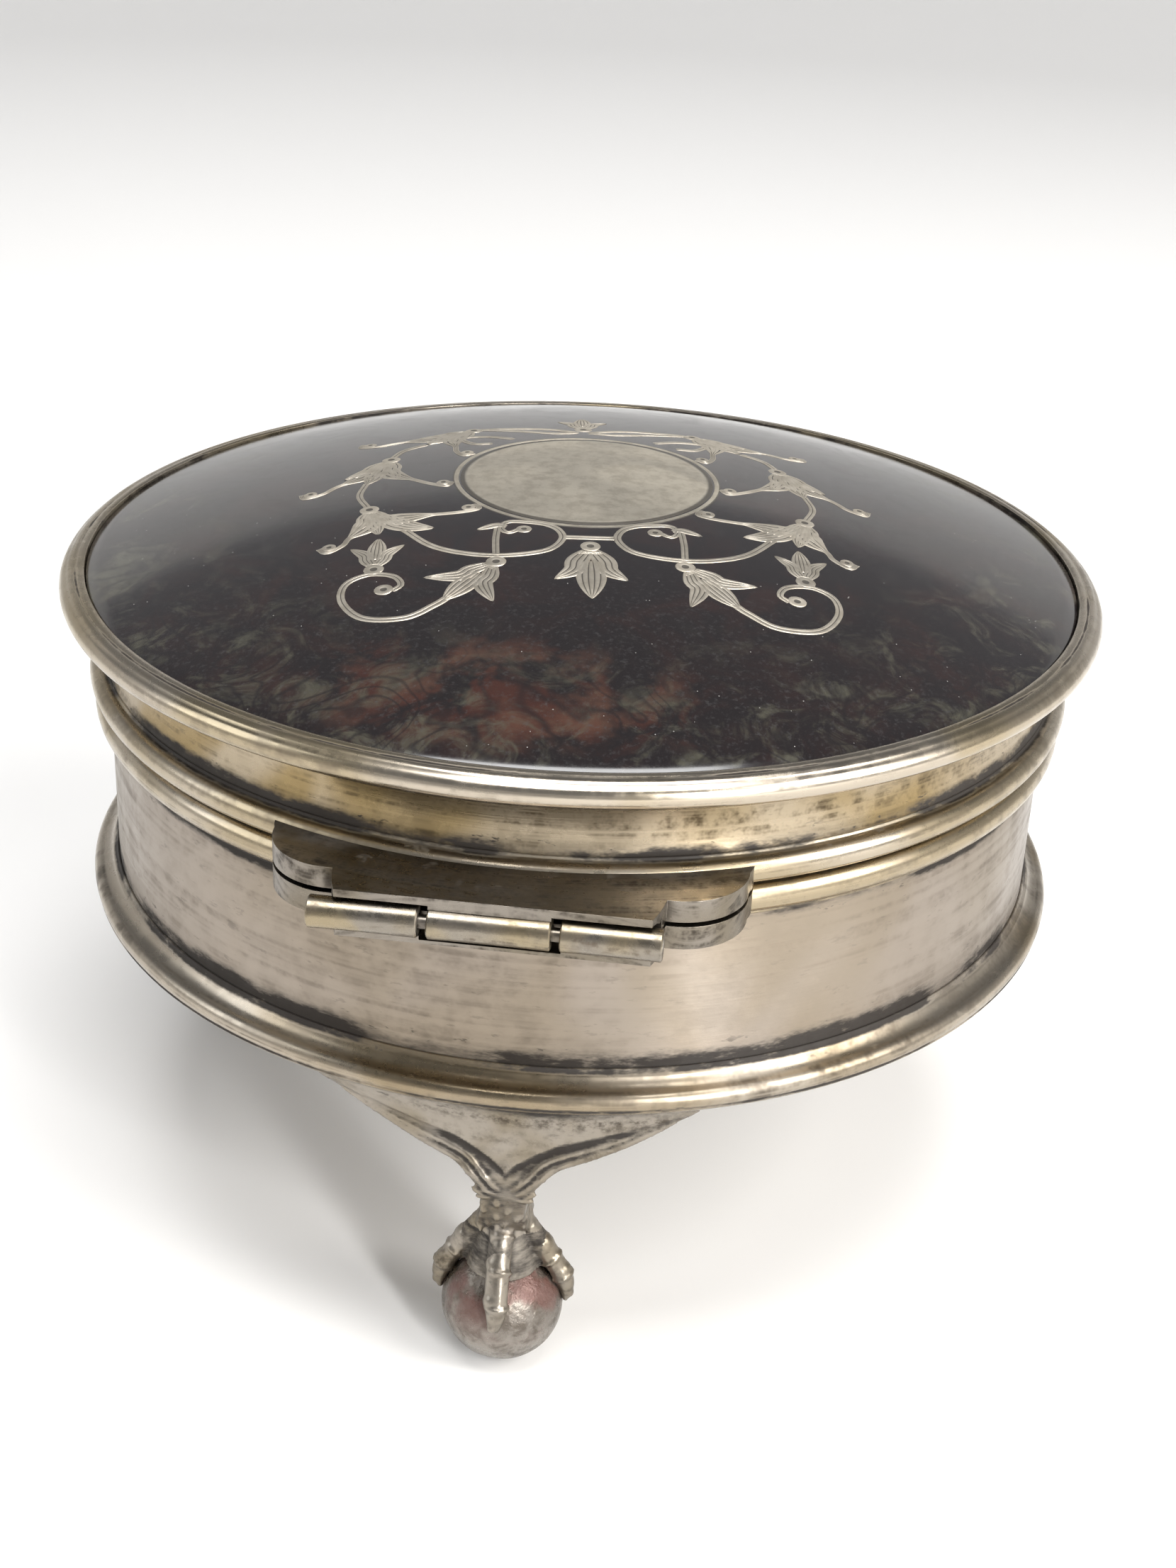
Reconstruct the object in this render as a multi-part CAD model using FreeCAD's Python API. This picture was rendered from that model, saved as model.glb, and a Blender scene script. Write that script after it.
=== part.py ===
"""Round silver box on three claw-and-ball feet, with a hinged lid set with a domed shell panel.

Millimetres. +Z is up. The origin is on the body's axis, in the plane the three balls stand on.
The hinge is at +Y, so the box opens towards -Y.
"""
import FreeCAD, Part
import math
import os

Vec = FreeCAD.Vector
AXIS = Vec(0, 0, 1)
ORIGIN = Vec(0, 0, 0)

# ---------------------------------------------------------------- driving sizes
band_outer_r = 39.0         # drum of the body
bezel_out = 3.5             # how far the widest ring, round the shell panel, stands out from the drum
bezel_width = 2.1           # from the shell panel's edge to the outside of that ring
wall = 1.0                  # drum and lid wall thickness
leg_height = 26.5           # floor to the underside of the base
base_thick = 0.8
body_height = 17.9          # underside of the base to the rim the lid closes on
seat_gap = 0.35             # between the two rims when the lid is shut
lid_wall_height = 7.15      # lid rim to the underside of the bezel
bezel_height = 2.35
dome_rise = 7.0
panel_thick = 1.5
foot_count = 3

# mouldings
base_moulding_out = 2.2     # how far the base ring stands out from the drum
base_moulding_height = 3.0
rim_moulding_out = 1.2
rim_moulding_height = 2.6
lid_moulding_out = 1.5
lid_moulding_height = 2.25
cove_least_wall = 0.8       # lid wall at its hollow

# seating collar inside the rim
collar_thick = 0.75
collar_gap = 0.4            # to the inside of the lid wall
collar_rise = 1.5           # above the body rim
collar_drop = 5.0           # below the body rim

# hinge
axis_out = 6.2              # barrel axis from the drum
axis_drop = 0.18            # below the middle of the gap between the rims
barrel_r = 1.15
barrel_half_length = 12.1
barrel_shift = 0.5          # the barrel is soldered a little off the middle
middle_shift = 0.15         # and so is its middle knuckle
knuckle_gap = 0.65
middle_knuckle_half = 4.2
pin_r = 0.5
pin_fit = 0.05              # pin to middle knuckle
hinge_swing_gap = 0.3       # leaf to the knuckles of the other leaf
leaf_tip_half = 17.1        # half width at the lobe ends
leaf_step_half = 11.3       # half width of the straight edge
lobe_out = 3.6              # outer edge of the lobes beside the straight edge, from the drum
lid_leaf_thick = 1.65
lid_leaf_over = 0.3         # how far the lid leaf reaches past the barrel axis
lid_leaf_lip = 0.9
body_leaf_thick = 1.75
body_leaf_lip = 0.9

# feet
ball_r = 4.85
ball_inset = 4.0            # ball centre from the drum's outside
ball_flat_r = 0.7           # worn flat under each ball
knee_half = 14.4
leg_wall = 2.2
ankle_half = 1.75
claw_r = 1.0

# lining
lining_gap = 0.1
board_thick = 0.9
wall_lining_thick = 0.7
cushion_thick = 4.2
lid_pad_thick = 1.7
soft_gap = 0.3

# inlay on the dome
disc_share = 0.2525         # disc against the shell panel
border_gap = 0.25
border_width = 0.45
inlay_turn = 8.5            # degrees the ornament is turned from the hinge line
inlay_depth = 0.3
inlay_proud = 0.03
wire_width = 0.5

# ---------------------------------------------------------------- sizes that follow
bezel_outer_r = band_outer_r + bezel_out
panel_r = bezel_outer_r - bezel_width
ball_centre_r = band_outer_r - ball_inset
axis_y = band_outer_r + axis_out
lobe_y = band_outer_r + lobe_out
disc_r = panel_r * disc_share
ornament_scale = disc_r / 10.2          # the ornament is drawn for a disc of this radius
base_z = leg_height
ankle_z = leg_height * 0.48
floor_z = base_z + base_thick
body_top_z = base_z + body_height
lid_bottom_z = body_top_z + seat_gap
bezel_z = lid_bottom_z + lid_wall_height
ledge_z = bezel_z + 0.55
panel_edge_z = bezel_z + bezel_height - 0.25
panel_top_z = panel_edge_z + dome_rise
wall_inner_r = band_outer_r - wall
axis_z = (body_top_z + lid_bottom_z) / 2 - axis_drop
dome_radius = (panel_r ** 2 + dome_rise ** 2) / (2 * dome_rise)
dome_centre = Vec(0, 0, panel_top_z - dome_radius)


# ---------------------------------------------------------------- shared helpers
def export(shape, name):
    """Write one node."""
    os.makedirs("parts", exist_ok=True)
    if not shape.isValid():
        raise ValueError(name + " is not a valid shape")
    shape.exportStep("parts/" + name + ".step")


def outline(start, steps, place):
    """Closed wire from a start point and steps: (x, y) is a line, ((x, y), (x, y)) an arc by way of the first."""
    edges = []
    here = place(*start)
    for step in steps:
        if isinstance(step[0], tuple):
            end = place(*step[1])
            edges.append(Part.Arc(here, place(*step[0]), end).toShape())
        else:
            end = place(*step)
            edges.append(Part.LineSegment(here, end).toShape())
        here = end
    first = place(*start)
    if here.distanceToPoint(first) > 1e-6:
        edges.append(Part.LineSegment(here, first).toShape())
    return Part.Wire(edges)


def both_halves(start, steps):
    """Start and steps of a whole outline from its right half, the left half mirrored."""
    points = [start]
    for step in steps:
        points.append(step[1] if isinstance(step[0], tuple) else step)
    back = [(-points[-1][0], points[-1][1])]
    for number in range(len(steps) - 1, -1, -1):
        end = (-points[number][0], points[number][1])
        step = steps[number]
        back.append(((-step[0][0], step[0][1]), end) if isinstance(step[0], tuple) else end)
    return start, steps + back


def in_section(r, z):
    """Point of a lathe section: radius and height."""
    return Vec(r, 0, z)


def in_plan(x, y):
    return Vec(x, y, 0)


def in_front(x, z):
    """Point of an outline seen along Y."""
    return Vec(x, 0, z)


def lathe(start, steps, degrees=360):
    """Solid of revolution about the body's axis."""
    face = Part.Face(outline(start, steps, in_section))
    return face.revolve(ORIGIN, AXIS, degrees)


def slab(start, steps, low_z, high_z):
    """Flat plate with a plan outline."""
    face = Part.Face(outline(start, steps, in_plan))
    face.translate(Vec(0, 0, low_z))
    return face.extrude(Vec(0, 0, high_z - low_z))


def ring(inner_r, outer_r, low_z, high_z):
    tube = Part.makeCylinder(outer_r, high_z - low_z, Vec(0, 0, low_z))
    return tube.cut(Part.makeCylinder(inner_r, high_z - low_z, Vec(0, 0, low_z)))


def rod_x(radius, x_low, x_high, y, z):
    return Part.makeCylinder(radius, x_high - x_low, Vec(x_low, y, z), Vec(1, 0, 0))


def turned(shape, degrees):
    copy = shape.copy()
    copy.rotate(ORIGIN, AXIS, degrees)
    return copy


def dome_z(r, offset=0.0):
    """Height of the dome, or of a surface parallel to it, at a radius."""
    return dome_centre.z + math.sqrt((dome_radius + offset) ** 2 - r ** 2)


def crown(r, edge_z, apex_z):
    """Point half way out on a crowned surface centred on the axis, from its edge and apex heights."""
    sag = abs(apex_z - edge_z)
    radius = (r ** 2 + sag ** 2) / (2 * sag)
    drop = radius - math.sqrt(radius ** 2 - (r / 2) ** 2)
    return (r / 2, apex_z - math.copysign(drop, apex_z - edge_z))


# ---------------------------------------------------------------- body
def half_round(inner_r, out, low_z, high_z):
    """Ring with a half-round outer face, standing out from a wall."""
    middle = (low_z + high_z) / 2
    return lathe((inner_r, low_z), [(inner_r + 0.2, low_z),
                                    ((inner_r + out, middle), (inner_r + 0.2, high_z)),
                                    (inner_r, high_z)])


def make_base_moulding():
    r = band_outer_r
    nose_r = r + base_moulding_out
    h = base_moulding_height
    top = base_z + h
    return lathe((r, base_z), [(nose_r - 1.0, base_z),
                               ((nose_r, base_z + 0.3 * h), (nose_r - 0.75, base_z + 0.58 * h)),
                               ((r + 0.62, base_z + 0.75 * h), (r + 0.15, top)),
                               (r, top)])


def make_body_band():
    return ring(wall_inner_r, band_outer_r, floor_z, body_top_z)


def make_seating_collar():
    foot_z = body_top_z - collar_drop
    top_z = body_top_z + collar_rise
    upper_r = wall_inner_r - collar_gap
    inner_r = upper_r - collar_thick
    step_z = body_top_z - 0.1
    return lathe((inner_r, foot_z), [(wall_inner_r, foot_z), (wall_inner_r, step_z), (upper_r, step_z),
                                     (upper_r, top_z - 0.35),
                                     ((upper_r - 0.1, top_z - 0.1), (upper_r - 0.35, top_z)),
                                     (inner_r, top_z)])


# ---------------------------------------------------------------- lid
def make_lid_wall():
    r = band_outer_r + 0.2
    middle_z = lid_bottom_z + lid_moulding_height + (lid_wall_height - lid_moulding_height) / 2
    crease_z = lid_bottom_z + lid_moulding_height
    return lathe((wall_inner_r, lid_bottom_z), [(band_outer_r, lid_bottom_z), (band_outer_r, crease_z),
                                                (r, crease_z),
                                                ((wall_inner_r + cove_least_wall, middle_z), (r + 0.3, bezel_z)),
                                                (wall_inner_r, bezel_z)])


def make_lid_moulding():
    return half_round(band_outer_r, lid_moulding_out, lid_bottom_z, lid_bottom_z + lid_moulding_height)


def make_bezel():
    top_z = bezel_z + bezel_height
    seat_r = panel_r + lining_gap / 2
    return lathe((wall_inner_r, bezel_z), [(band_outer_r + 0.5, bezel_z),
                                           (bezel_outer_r - 0.7, bezel_z + 0.15),
                                           ((bezel_outer_r, bezel_z + 0.95), (bezel_outer_r - 0.55, bezel_z + 1.95)),
                                           ((bezel_outer_r - 1.15, top_z - 0.05), (seat_r + 0.12, top_z)),
                                           (seat_r, top_z - 0.1), (seat_r, ledge_z), (wall_inner_r, ledge_z)])


def make_shell_panel():
    inner_foot_r = panel_r - 1.3
    under_z = panel_top_z - panel_thick
    return lathe((0, under_z), [(crown(inner_foot_r, ledge_z, under_z), (inner_foot_r, ledge_z)),
                                (panel_r, ledge_z), (panel_r, panel_edge_z),
                                (crown(panel_r, panel_edge_z, panel_top_z), (0, panel_top_z))])


# ---------------------------------------------------------------- inlay, in plan, turned with the ornament
def polar(rho, alpha):
    """Plan point at a radius and an angle from the ornament's own +Y line."""
    a = math.radians(alpha)
    r = rho * ornament_scale
    return (r * math.sin(a), r * math.cos(a))


def inlay_skin():
    """Thin dome that every inlay is cut from: flush metal let into the shell."""
    low, high = -inlay_depth, inlay_proud
    edge = panel_r - 6
    half = edge / 2
    return lathe((0, dome_z(0, low)), [((half, dome_z(half, low)), (edge, dome_z(edge, low))),
                                       (edge, dome_z(edge, high)),
                                       ((half, dome_z(half, high)), (0, dome_z(0, high)))])


def let_in(shapes, skin):
    """Plan prisms trimmed to the dome, as one node of separate or joined solids."""
    joined = shapes[0].multiFuse(shapes[1:]) if len(shapes) > 1 else shapes[0]
    return turned(joined.common(skin).removeSplitter(), inlay_turn)


def prism(start, steps):
    return slab(start, steps, base_z, panel_top_z + 2)


def ribbon(a, b, c):
    """Wire laid along an arc through three plan points."""
    centre = Part.Arc(in_plan(*a), in_plan(*b), in_plan(*c)).toShape().Curve.Center
    half = wire_width / 2

    def shift(p, d):
        away = Vec(p[0], p[1], 0) - centre
        away.normalize()
        return (p[0] + away.x * d, p[1] + away.y * d)

    return prism(shift(a, half), [(shift(b, half), shift(c, half)), shift(c, -half),
                                  (shift(b, -half), shift(a, -half))])


def bead(x, y, r):
    return Part.makeCylinder(r, panel_top_z + 2 - base_z, Vec(x, y, base_z))


def petal(root, tip, width):
    """Lens-shaped petal from root to tip."""
    dx, dy = tip[0] - root[0], tip[1] - root[1]
    long = math.hypot(dx, dy)
    nx, ny = -dy / long * width / 2, dx / long * width / 2
    mid = (root[0] + dx * 0.5, root[1] + dy * 0.5)
    return prism(root, [((mid[0] + nx, mid[1] + ny), tip), ((mid[0] - nx, mid[1] - ny), root)])


def bellflower(root, tip, spread):
    """Three petals that open from one bead."""
    dx, dy = tip[0] - root[0], tip[1] - root[1]
    shapes = [bead(root[0], root[1], 0.75)]
    for turn, share in ((-spread, 0.82), (0, 1.0), (spread, 0.82)):
        a = math.radians(turn)
        end = (root[0] + share * (dx * math.cos(a) - dy * math.sin(a)),
               root[1] + share * (dx * math.sin(a) + dy * math.cos(a)))
        shapes.append(petal(root, end, 1.9))
    return shapes


def mirrored(points):
    return [(-x, y) for x, y in points]


def both_sides(make, points, *rest):
    """The same piece on both sides of the ornament's middle line."""
    left = make(*points, *rest)
    right = make(*mirrored(points), *rest)
    left = left if isinstance(left, list) else [left]
    right = right if isinstance(right, list) else [right]
    return left + right


flower_ends = [                                # bead and tip of each hanging flower of one garland
    (polar(18.0, 23.5), polar(22.6, 24.0)),
    (polar(18.3, 71.0), polar(18.6, 54.5)),
    (polar(17.2, 109.5), polar(17.8, 88.0)),
    (polar(17.0, 146.0), polar(17.0, 123.0)),
    (polar(23.2, 44.7), polar(20.0, 54.0)),
]
garland_arcs = [                               # wires of one side, each by three points
    (polar(12.9, 10.0), polar(17.4, 26.0), polar(17.8, 54.0)),
    (polar(12.9, 10.0), polar(10.9, 22.0), polar(12.4, 34.0)),
    (polar(12.4, 34.0), polar(14.8, 29.0), polar(18.0, 23.5)),
    (polar(22.0, 20.0), polar(28.7, 37.0), polar(23.2, 44.7)),
    (polar(23.2, 44.7), polar(23.0, 36.0), polar(25.0, 38.4)),
    (polar(18.4, 66.0), polar(22.0, 64.0), polar(23.6, 58.8)),
    (polar(18.4, 66.0), polar(14.0, 58.0), polar(11.6, 54.0)),
    (polar(17.4, 104.0), polar(20.8, 96.0), polar(22.6, 87.6)),
    (polar(17.4, 104.0), polar(13.6, 92.0), polar(11.6, 84.0)),
    (polar(17.0, 141.0), polar(20.2, 131.0), polar(21.8, 122.0)),
    (polar(17.0, 141.0), polar(13.4, 131.0), polar(11.6, 124.0)),
    (polar(17.8, 88.0), polar(18.4, 80.0), polar(18.3, 71.0)),
    (polar(17.0, 123.0), polar(17.4, 116.0), polar(17.2, 109.5)),
    (polar(12.9, 180.0), polar(14.6, 160.0), polar(17.0, 146.0)),
]


def make_inlay_flowers(skin):
    shapes = bellflower(polar(14.0, 0), polar(21.6, 0), 32)
    shapes += bellflower(polar(14.0, 180), polar(18.5, 180), 40)
    for ends in flower_ends:
        shapes += both_sides(lambda root, tip: bellflower(root, tip, 34), ends)
    return let_in(shapes, skin)


def make_inlay_scrolls(skin):
    near_bar = (polar(12.9, -10.0), polar(12.75, 0.0), polar(12.9, 10.0))
    shapes = [ribbon(*near_bar)]
    for arc in garland_arcs:
        shapes += both_sides(ribbon, arc)
    return let_in(shapes, skin)


def make_cartouche_disc(skin):
    return turned(bead(0, 0, disc_r).common(skin), inlay_turn)


def make_cartouche_border(skin):
    inner = disc_r + border_gap
    return ring(inner, inner + border_width, base_z, panel_top_z + 2).common(skin)


# ---------------------------------------------------------------- hinge
def leaf_plan(edge_y):
    """Plan outline of a leaf: round lobe, cusp, straight edge, cusp, round lobe."""
    root_y = band_outer_r - 4
    tip_y = math.sqrt((band_outer_r + 1.4) ** 2 - leaf_tip_half ** 2)
    corner = 0.5
    inner_x = leaf_step_half - 6
    steps = [(leaf_tip_half - 2, root_y - 1.5),
             ((leaf_tip_half - 0.1, tip_y - 0.6), (leaf_tip_half - 0.3, tip_y + 1.0)),
             ((leaf_step_half + 3.6, lobe_y - 1.0), (leaf_step_half + 0.2, lobe_y)),
             ((leaf_step_half - 0.1, edge_y - 1.3), (leaf_step_half - corner, edge_y))]
    return both_halves((inner_x, root_y - 8), steps)


def middle_block(low_z, high_z):
    """Space round the barrel, in front of the lobes, where a leaf is thinned to its lip."""
    reach = barrel_half_length + barrel_shift + hinge_swing_gap
    return Part.makeBox(2 * reach, 10, high_z - low_z, Vec(-reach, axis_y - barrel_r - hinge_swing_gap, low_z))


def make_leaf(edge_y, low_z, high_z, lip_low_z, lip_high_z, joined_x, other_x, wrapped):
    """Leaf with lobes, a thin lip over or under the barrel, and a saddle for its own knuckles."""
    start, steps = leaf_plan(edge_y)
    leaf = slab(start, steps, low_z, high_z)
    if lip_low_z > low_z:
        leaf = leaf.cut(middle_block(low_z - 1, lip_low_z))
    if lip_high_z < high_z:
        leaf = leaf.cut(middle_block(lip_high_z, high_z + 1))
    for x_low, x_high in joined_x:
        leaf = leaf.cut(rod_x(barrel_r, x_low, x_high, axis_y, axis_z))
    for x_low, x_high in other_x:
        leaf = leaf.cut(rod_x(barrel_r + hinge_swing_gap, x_low, x_high, axis_y, axis_z))
    return leaf.cut(wrapped)


middle_x = (middle_shift - middle_knuckle_half, middle_shift + middle_knuckle_half)
left_x = (barrel_shift - barrel_half_length, middle_x[0] - knuckle_gap)
right_x = (middle_x[1] + knuckle_gap, barrel_shift + barrel_half_length)
around_middle_x = (left_x[1], right_x[0])


def make_lid_leaf():
    low_z = lid_bottom_z
    high_z = low_z + lid_leaf_thick
    drum = Part.makeCylinder(band_outer_r, 20, Vec(0, 0, low_z - 5)).fuse(make_lid_moulding())
    swung = [(left_x[0] - hinge_swing_gap, middle_x[0]), (middle_x[1], right_x[1] + hinge_swing_gap)]
    return make_leaf(axis_y + lid_leaf_over, low_z, high_z, high_z - lid_leaf_lip, high_z, [middle_x], swung, drum)


def make_body_leaf():
    high_z = body_top_z
    low_z = high_z - body_leaf_thick
    drum = Part.makeCylinder(band_outer_r, 20, Vec(0, 0, low_z - 5)).fuse(make_rim_moulding())
    return make_leaf(axis_y, low_z, high_z, low_z, low_z + body_leaf_lip,
                     [left_x, right_x], [around_middle_x], drum)


def make_rim_moulding():
    return half_round(band_outer_r, rim_moulding_out, body_top_z - rim_moulding_height, body_top_z)


def make_knuckle(span, hole_r):
    tube = rod_x(barrel_r, span[0], span[1], axis_y, axis_z)
    return tube.cut(rod_x(hole_r, span[0] - 1, span[1] + 1, axis_y, axis_z))


def make_pin():
    recess = 0.6
    return rod_x(pin_r, left_x[0] + recess, right_x[1] - recess, axis_y, axis_z)


# ---------------------------------------------------------------- feet, built at +Y
def make_ball():
    ball = Part.makeSphere(ball_r, Vec(0, ball_centre_r, ball_r - flat_depth()))
    return ball.common(Part.makeBox(40, 40, 40, Vec(-20, ball_centre_r - 20, 0)))


def flat_depth():
    return ball_r - math.sqrt(ball_r ** 2 - ball_flat_r ** 2)


def make_knee():
    """Crescent knee and ankle: a curved cabriole wall cut to the outline seen from the front."""
    top = base_z
    h = leg_height
    outer = band_outer_r + base_moulding_out - 1.2
    wall_section = lathe((outer - 5.2, top), [(outer, top),
                                              ((outer - 1.0, h * 0.86), (outer - 0.55, h * 0.74)),
                                              ((outer - 1.5, h * 0.62), (ball_centre_r + ankle_half, ankle_z)),
                                              (ball_centre_r - ankle_half, ankle_z),
                                              ((outer - 4.6, h * 0.64), (outer - 0.85 - leg_wall, h * 0.76)),
                                              ((outer - 3.9, h * 0.88), (outer - 5.2, top))], 60)
    wall_section = turned(wall_section, 60)
    tip = top - 0.9
    steps = [(knee_half, tip),
             ((knee_half * 0.68, h * 0.862), (knee_half * 0.285, h * 0.772)),
             ((ankle_half + 0.75, h * 0.71), (ankle_half, h * 0.62)),
             (ankle_half, h * 0.55),
             (ankle_half + 0.35, ankle_z)]
    front = Part.Face(outline(*both_halves((knee_half, top), steps), in_front))
    return wall_section.common(front.extrude(Vec(0, 60, 0)))


def make_toe(direction):
    """One talon: cones from the ankle out over the ball and down to its point, with a knuckle at each bend."""
    a = math.radians(direction)
    path = [Vec(out * math.cos(a), ball_centre_r + out * math.sin(a), z) for out, z in
            ((ankle_half * 0.5, ankle_z + 0.5), (ball_r * 0.62, ball_r * 2.14), (ball_r * 0.93, ball_r * 1.66),
             (ball_r * 1.08, ball_r * 1.24))]
    radii = (claw_r * 0.9, claw_r * 0.92, claw_r * 0.84, claw_r * 0.4)
    shapes = []
    for number in range(len(path) - 1):
        along = path[number + 1] - path[number]
        shapes.append(Part.makeCone(radii[number], radii[number + 1] * 0.95, along.Length, path[number], along))
        shapes.append(Part.makeSphere(radii[number + 1] * 1.08, path[number + 1]))
    return shapes


def make_leg():
    """Knee, ankle, palm and four talons, cast in one and seated on the ball."""
    centre = Vec(0, ball_centre_r, ball_r - flat_depth())
    palm_low_z = centre.z + ball_r * 0.8
    shapes = [make_knee(),
              Part.makeCone(ball_r * 0.62, ankle_half, ankle_z - palm_low_z, Vec(0, ball_centre_r, palm_low_z))]
    for direction in (90, 0, 180, 270):
        shapes += make_toe(direction)
    leg = shapes[0]
    for shape in shapes[1:]:
        leg = leg.fuse(shape)
    leg = leg.cut(Part.makeSphere(ball_r, centre))
    return leg.Solids[0] if len(leg.Solids) == 1 else leg


# ---------------------------------------------------------------- lining
def make_cushion():
    """Padded seat: flat below, crowned above."""
    r = wall_inner_r - lining_gap - wall_lining_thick - soft_gap
    low = floor_z + board_thick + lining_gap
    side = low + cushion_thick * 0.6
    top = low + cushion_thick
    return lathe((0, low), [(r - 0.8, low), ((r, low + 1.0), (r - 0.5, side)),
                            (crown(r - 0.5, side, top), (0, top))])


def make_lid_pad():
    """Padded lining under the lid board, crowned downwards."""
    r = wall_inner_r - lining_gap - soft_gap
    high = ledge_z - lining_gap - board_thick
    low = high - lid_pad_thick
    side = high - 0.9
    return lathe((0, low), [(crown(r - 0.4, side, low), (r - 0.4, side)),
                            ((r, high - 0.5), (r - 0.3, high)), (0, high)])


def make_all():
    skin = inlay_skin()
    parts = {
        "base_plate": Part.makeCylinder(band_outer_r, base_thick, Vec(0, 0, base_z)),
        "base_moulding": make_base_moulding(),
        "body_band": make_body_band(),
        "rim_moulding": make_rim_moulding(),
        "seating_collar": make_seating_collar(),
        "lid_wall": make_lid_wall(),
        "lid_moulding": make_lid_moulding(),
        "bezel": make_bezel(),
        "shell_panel": make_shell_panel(),
        "cartouche_disc": make_cartouche_disc(skin),
        "cartouche_border": make_cartouche_border(skin),
        "inlay_flowers": make_inlay_flowers(skin),
        "inlay_scrolls": make_inlay_scrolls(skin),
        "lid_leaf": make_lid_leaf(),
        "body_leaf": make_body_leaf(),
        "lid_knuckle": make_knuckle(middle_x, pin_r + pin_fit),
        "body_knuckle_left": make_knuckle(left_x, pin_r),
        "body_knuckle_right": make_knuckle(right_x, pin_r),
        "hinge_pin": make_pin(),
    }
    inner_r = wall_inner_r - lining_gap
    lid_board_top = ledge_z - lining_gap
    parts["lid_board"] = Part.makeCylinder(inner_r, board_thick, Vec(0, 0, lid_board_top - board_thick))
    parts["lid_pad"] = make_lid_pad()
    parts["base_board"] = Part.makeCylinder(inner_r, board_thick, Vec(0, 0, floor_z))
    collar_foot_z = body_top_z - collar_drop
    parts["wall_lining"] = ring(inner_r - wall_lining_thick, inner_r, floor_z + board_thick, collar_foot_z - lining_gap)
    parts["base_cushion"] = make_cushion()
    places = ("rear", "front_left", "front_right")
    for number in range(foot_count):
        name = places[number]
        spin = 360 / foot_count * number
        parts["leg_" + name] = turned(make_leg(), spin)
        parts["ball_" + name] = turned(make_ball(), spin)
    return parts


for node, solid in make_all().items():
    export(solid, node)
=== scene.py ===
"""Looks of a round silver pill box with a shell lid, claw feet and a padded lining.

+Z is up, the box stands about the Z axis and its hinge is at +Y. Pieces are drawn in
millimetres and brought to metres as they are finished.
"""
import logging
import math
from dataclasses import dataclass, field
from enum import Enum
from typing import Callable, Sequence

import bmesh
import bpy
from mathutils import Matrix, Vector, noise
from mathutils.bvhtree import BVHTree


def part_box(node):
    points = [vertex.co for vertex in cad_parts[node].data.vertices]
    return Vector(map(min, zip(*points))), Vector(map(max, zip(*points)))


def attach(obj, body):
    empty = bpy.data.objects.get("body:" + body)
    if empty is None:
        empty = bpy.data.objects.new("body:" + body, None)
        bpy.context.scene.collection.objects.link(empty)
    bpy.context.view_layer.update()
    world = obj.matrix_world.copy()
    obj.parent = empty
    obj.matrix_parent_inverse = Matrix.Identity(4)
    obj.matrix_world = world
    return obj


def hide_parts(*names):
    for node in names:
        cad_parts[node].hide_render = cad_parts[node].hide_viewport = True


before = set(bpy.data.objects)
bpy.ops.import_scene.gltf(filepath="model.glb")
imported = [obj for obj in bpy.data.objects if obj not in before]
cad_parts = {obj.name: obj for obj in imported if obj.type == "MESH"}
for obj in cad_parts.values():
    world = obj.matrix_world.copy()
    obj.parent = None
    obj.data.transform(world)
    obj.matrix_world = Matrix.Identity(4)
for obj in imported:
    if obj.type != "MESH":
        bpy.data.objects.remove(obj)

LOG = logging.getLogger("pill_box")
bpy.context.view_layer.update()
MM = 0.001
TURNS = 256
BARREL_TURNS = 40
DRUM_WALL = 1.0
PANEL_SUNK = 0.25
INLAY_TURN = 8.5
FOOT_TURNS = {"rear": 0, "front_left": 120, "front_right": 240}

Point = tuple[float, float]
Crease = tuple[float, float, float]
Colour = tuple[float, float, float]
BMesh = bmesh.types.BMesh
Object = bpy.types.Object
Material = bpy.types.Material
NodeTree = bpy.types.NodeTree
Socket = bpy.types.NodeSocket


class Body(Enum):
    """The two bodies that pieces ride on."""

    BASE = "base"
    LID = "lid"


class Slot(Enum):
    """Material slots of the record."""

    SILVER = "silver"
    HINGE = "hinge_silver"
    CAST = "cast_silver"
    INLAY = "inlay_silver"
    SHELL = "tortoiseshell"
    VELVET = "velvet"
    SILK = "silk"


def box_mm(node: str) -> tuple[Vector, Vector]:
    """Low and high corner of a node's box, in millimetres."""
    low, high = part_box(node)
    return low / MM, high / MM


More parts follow.
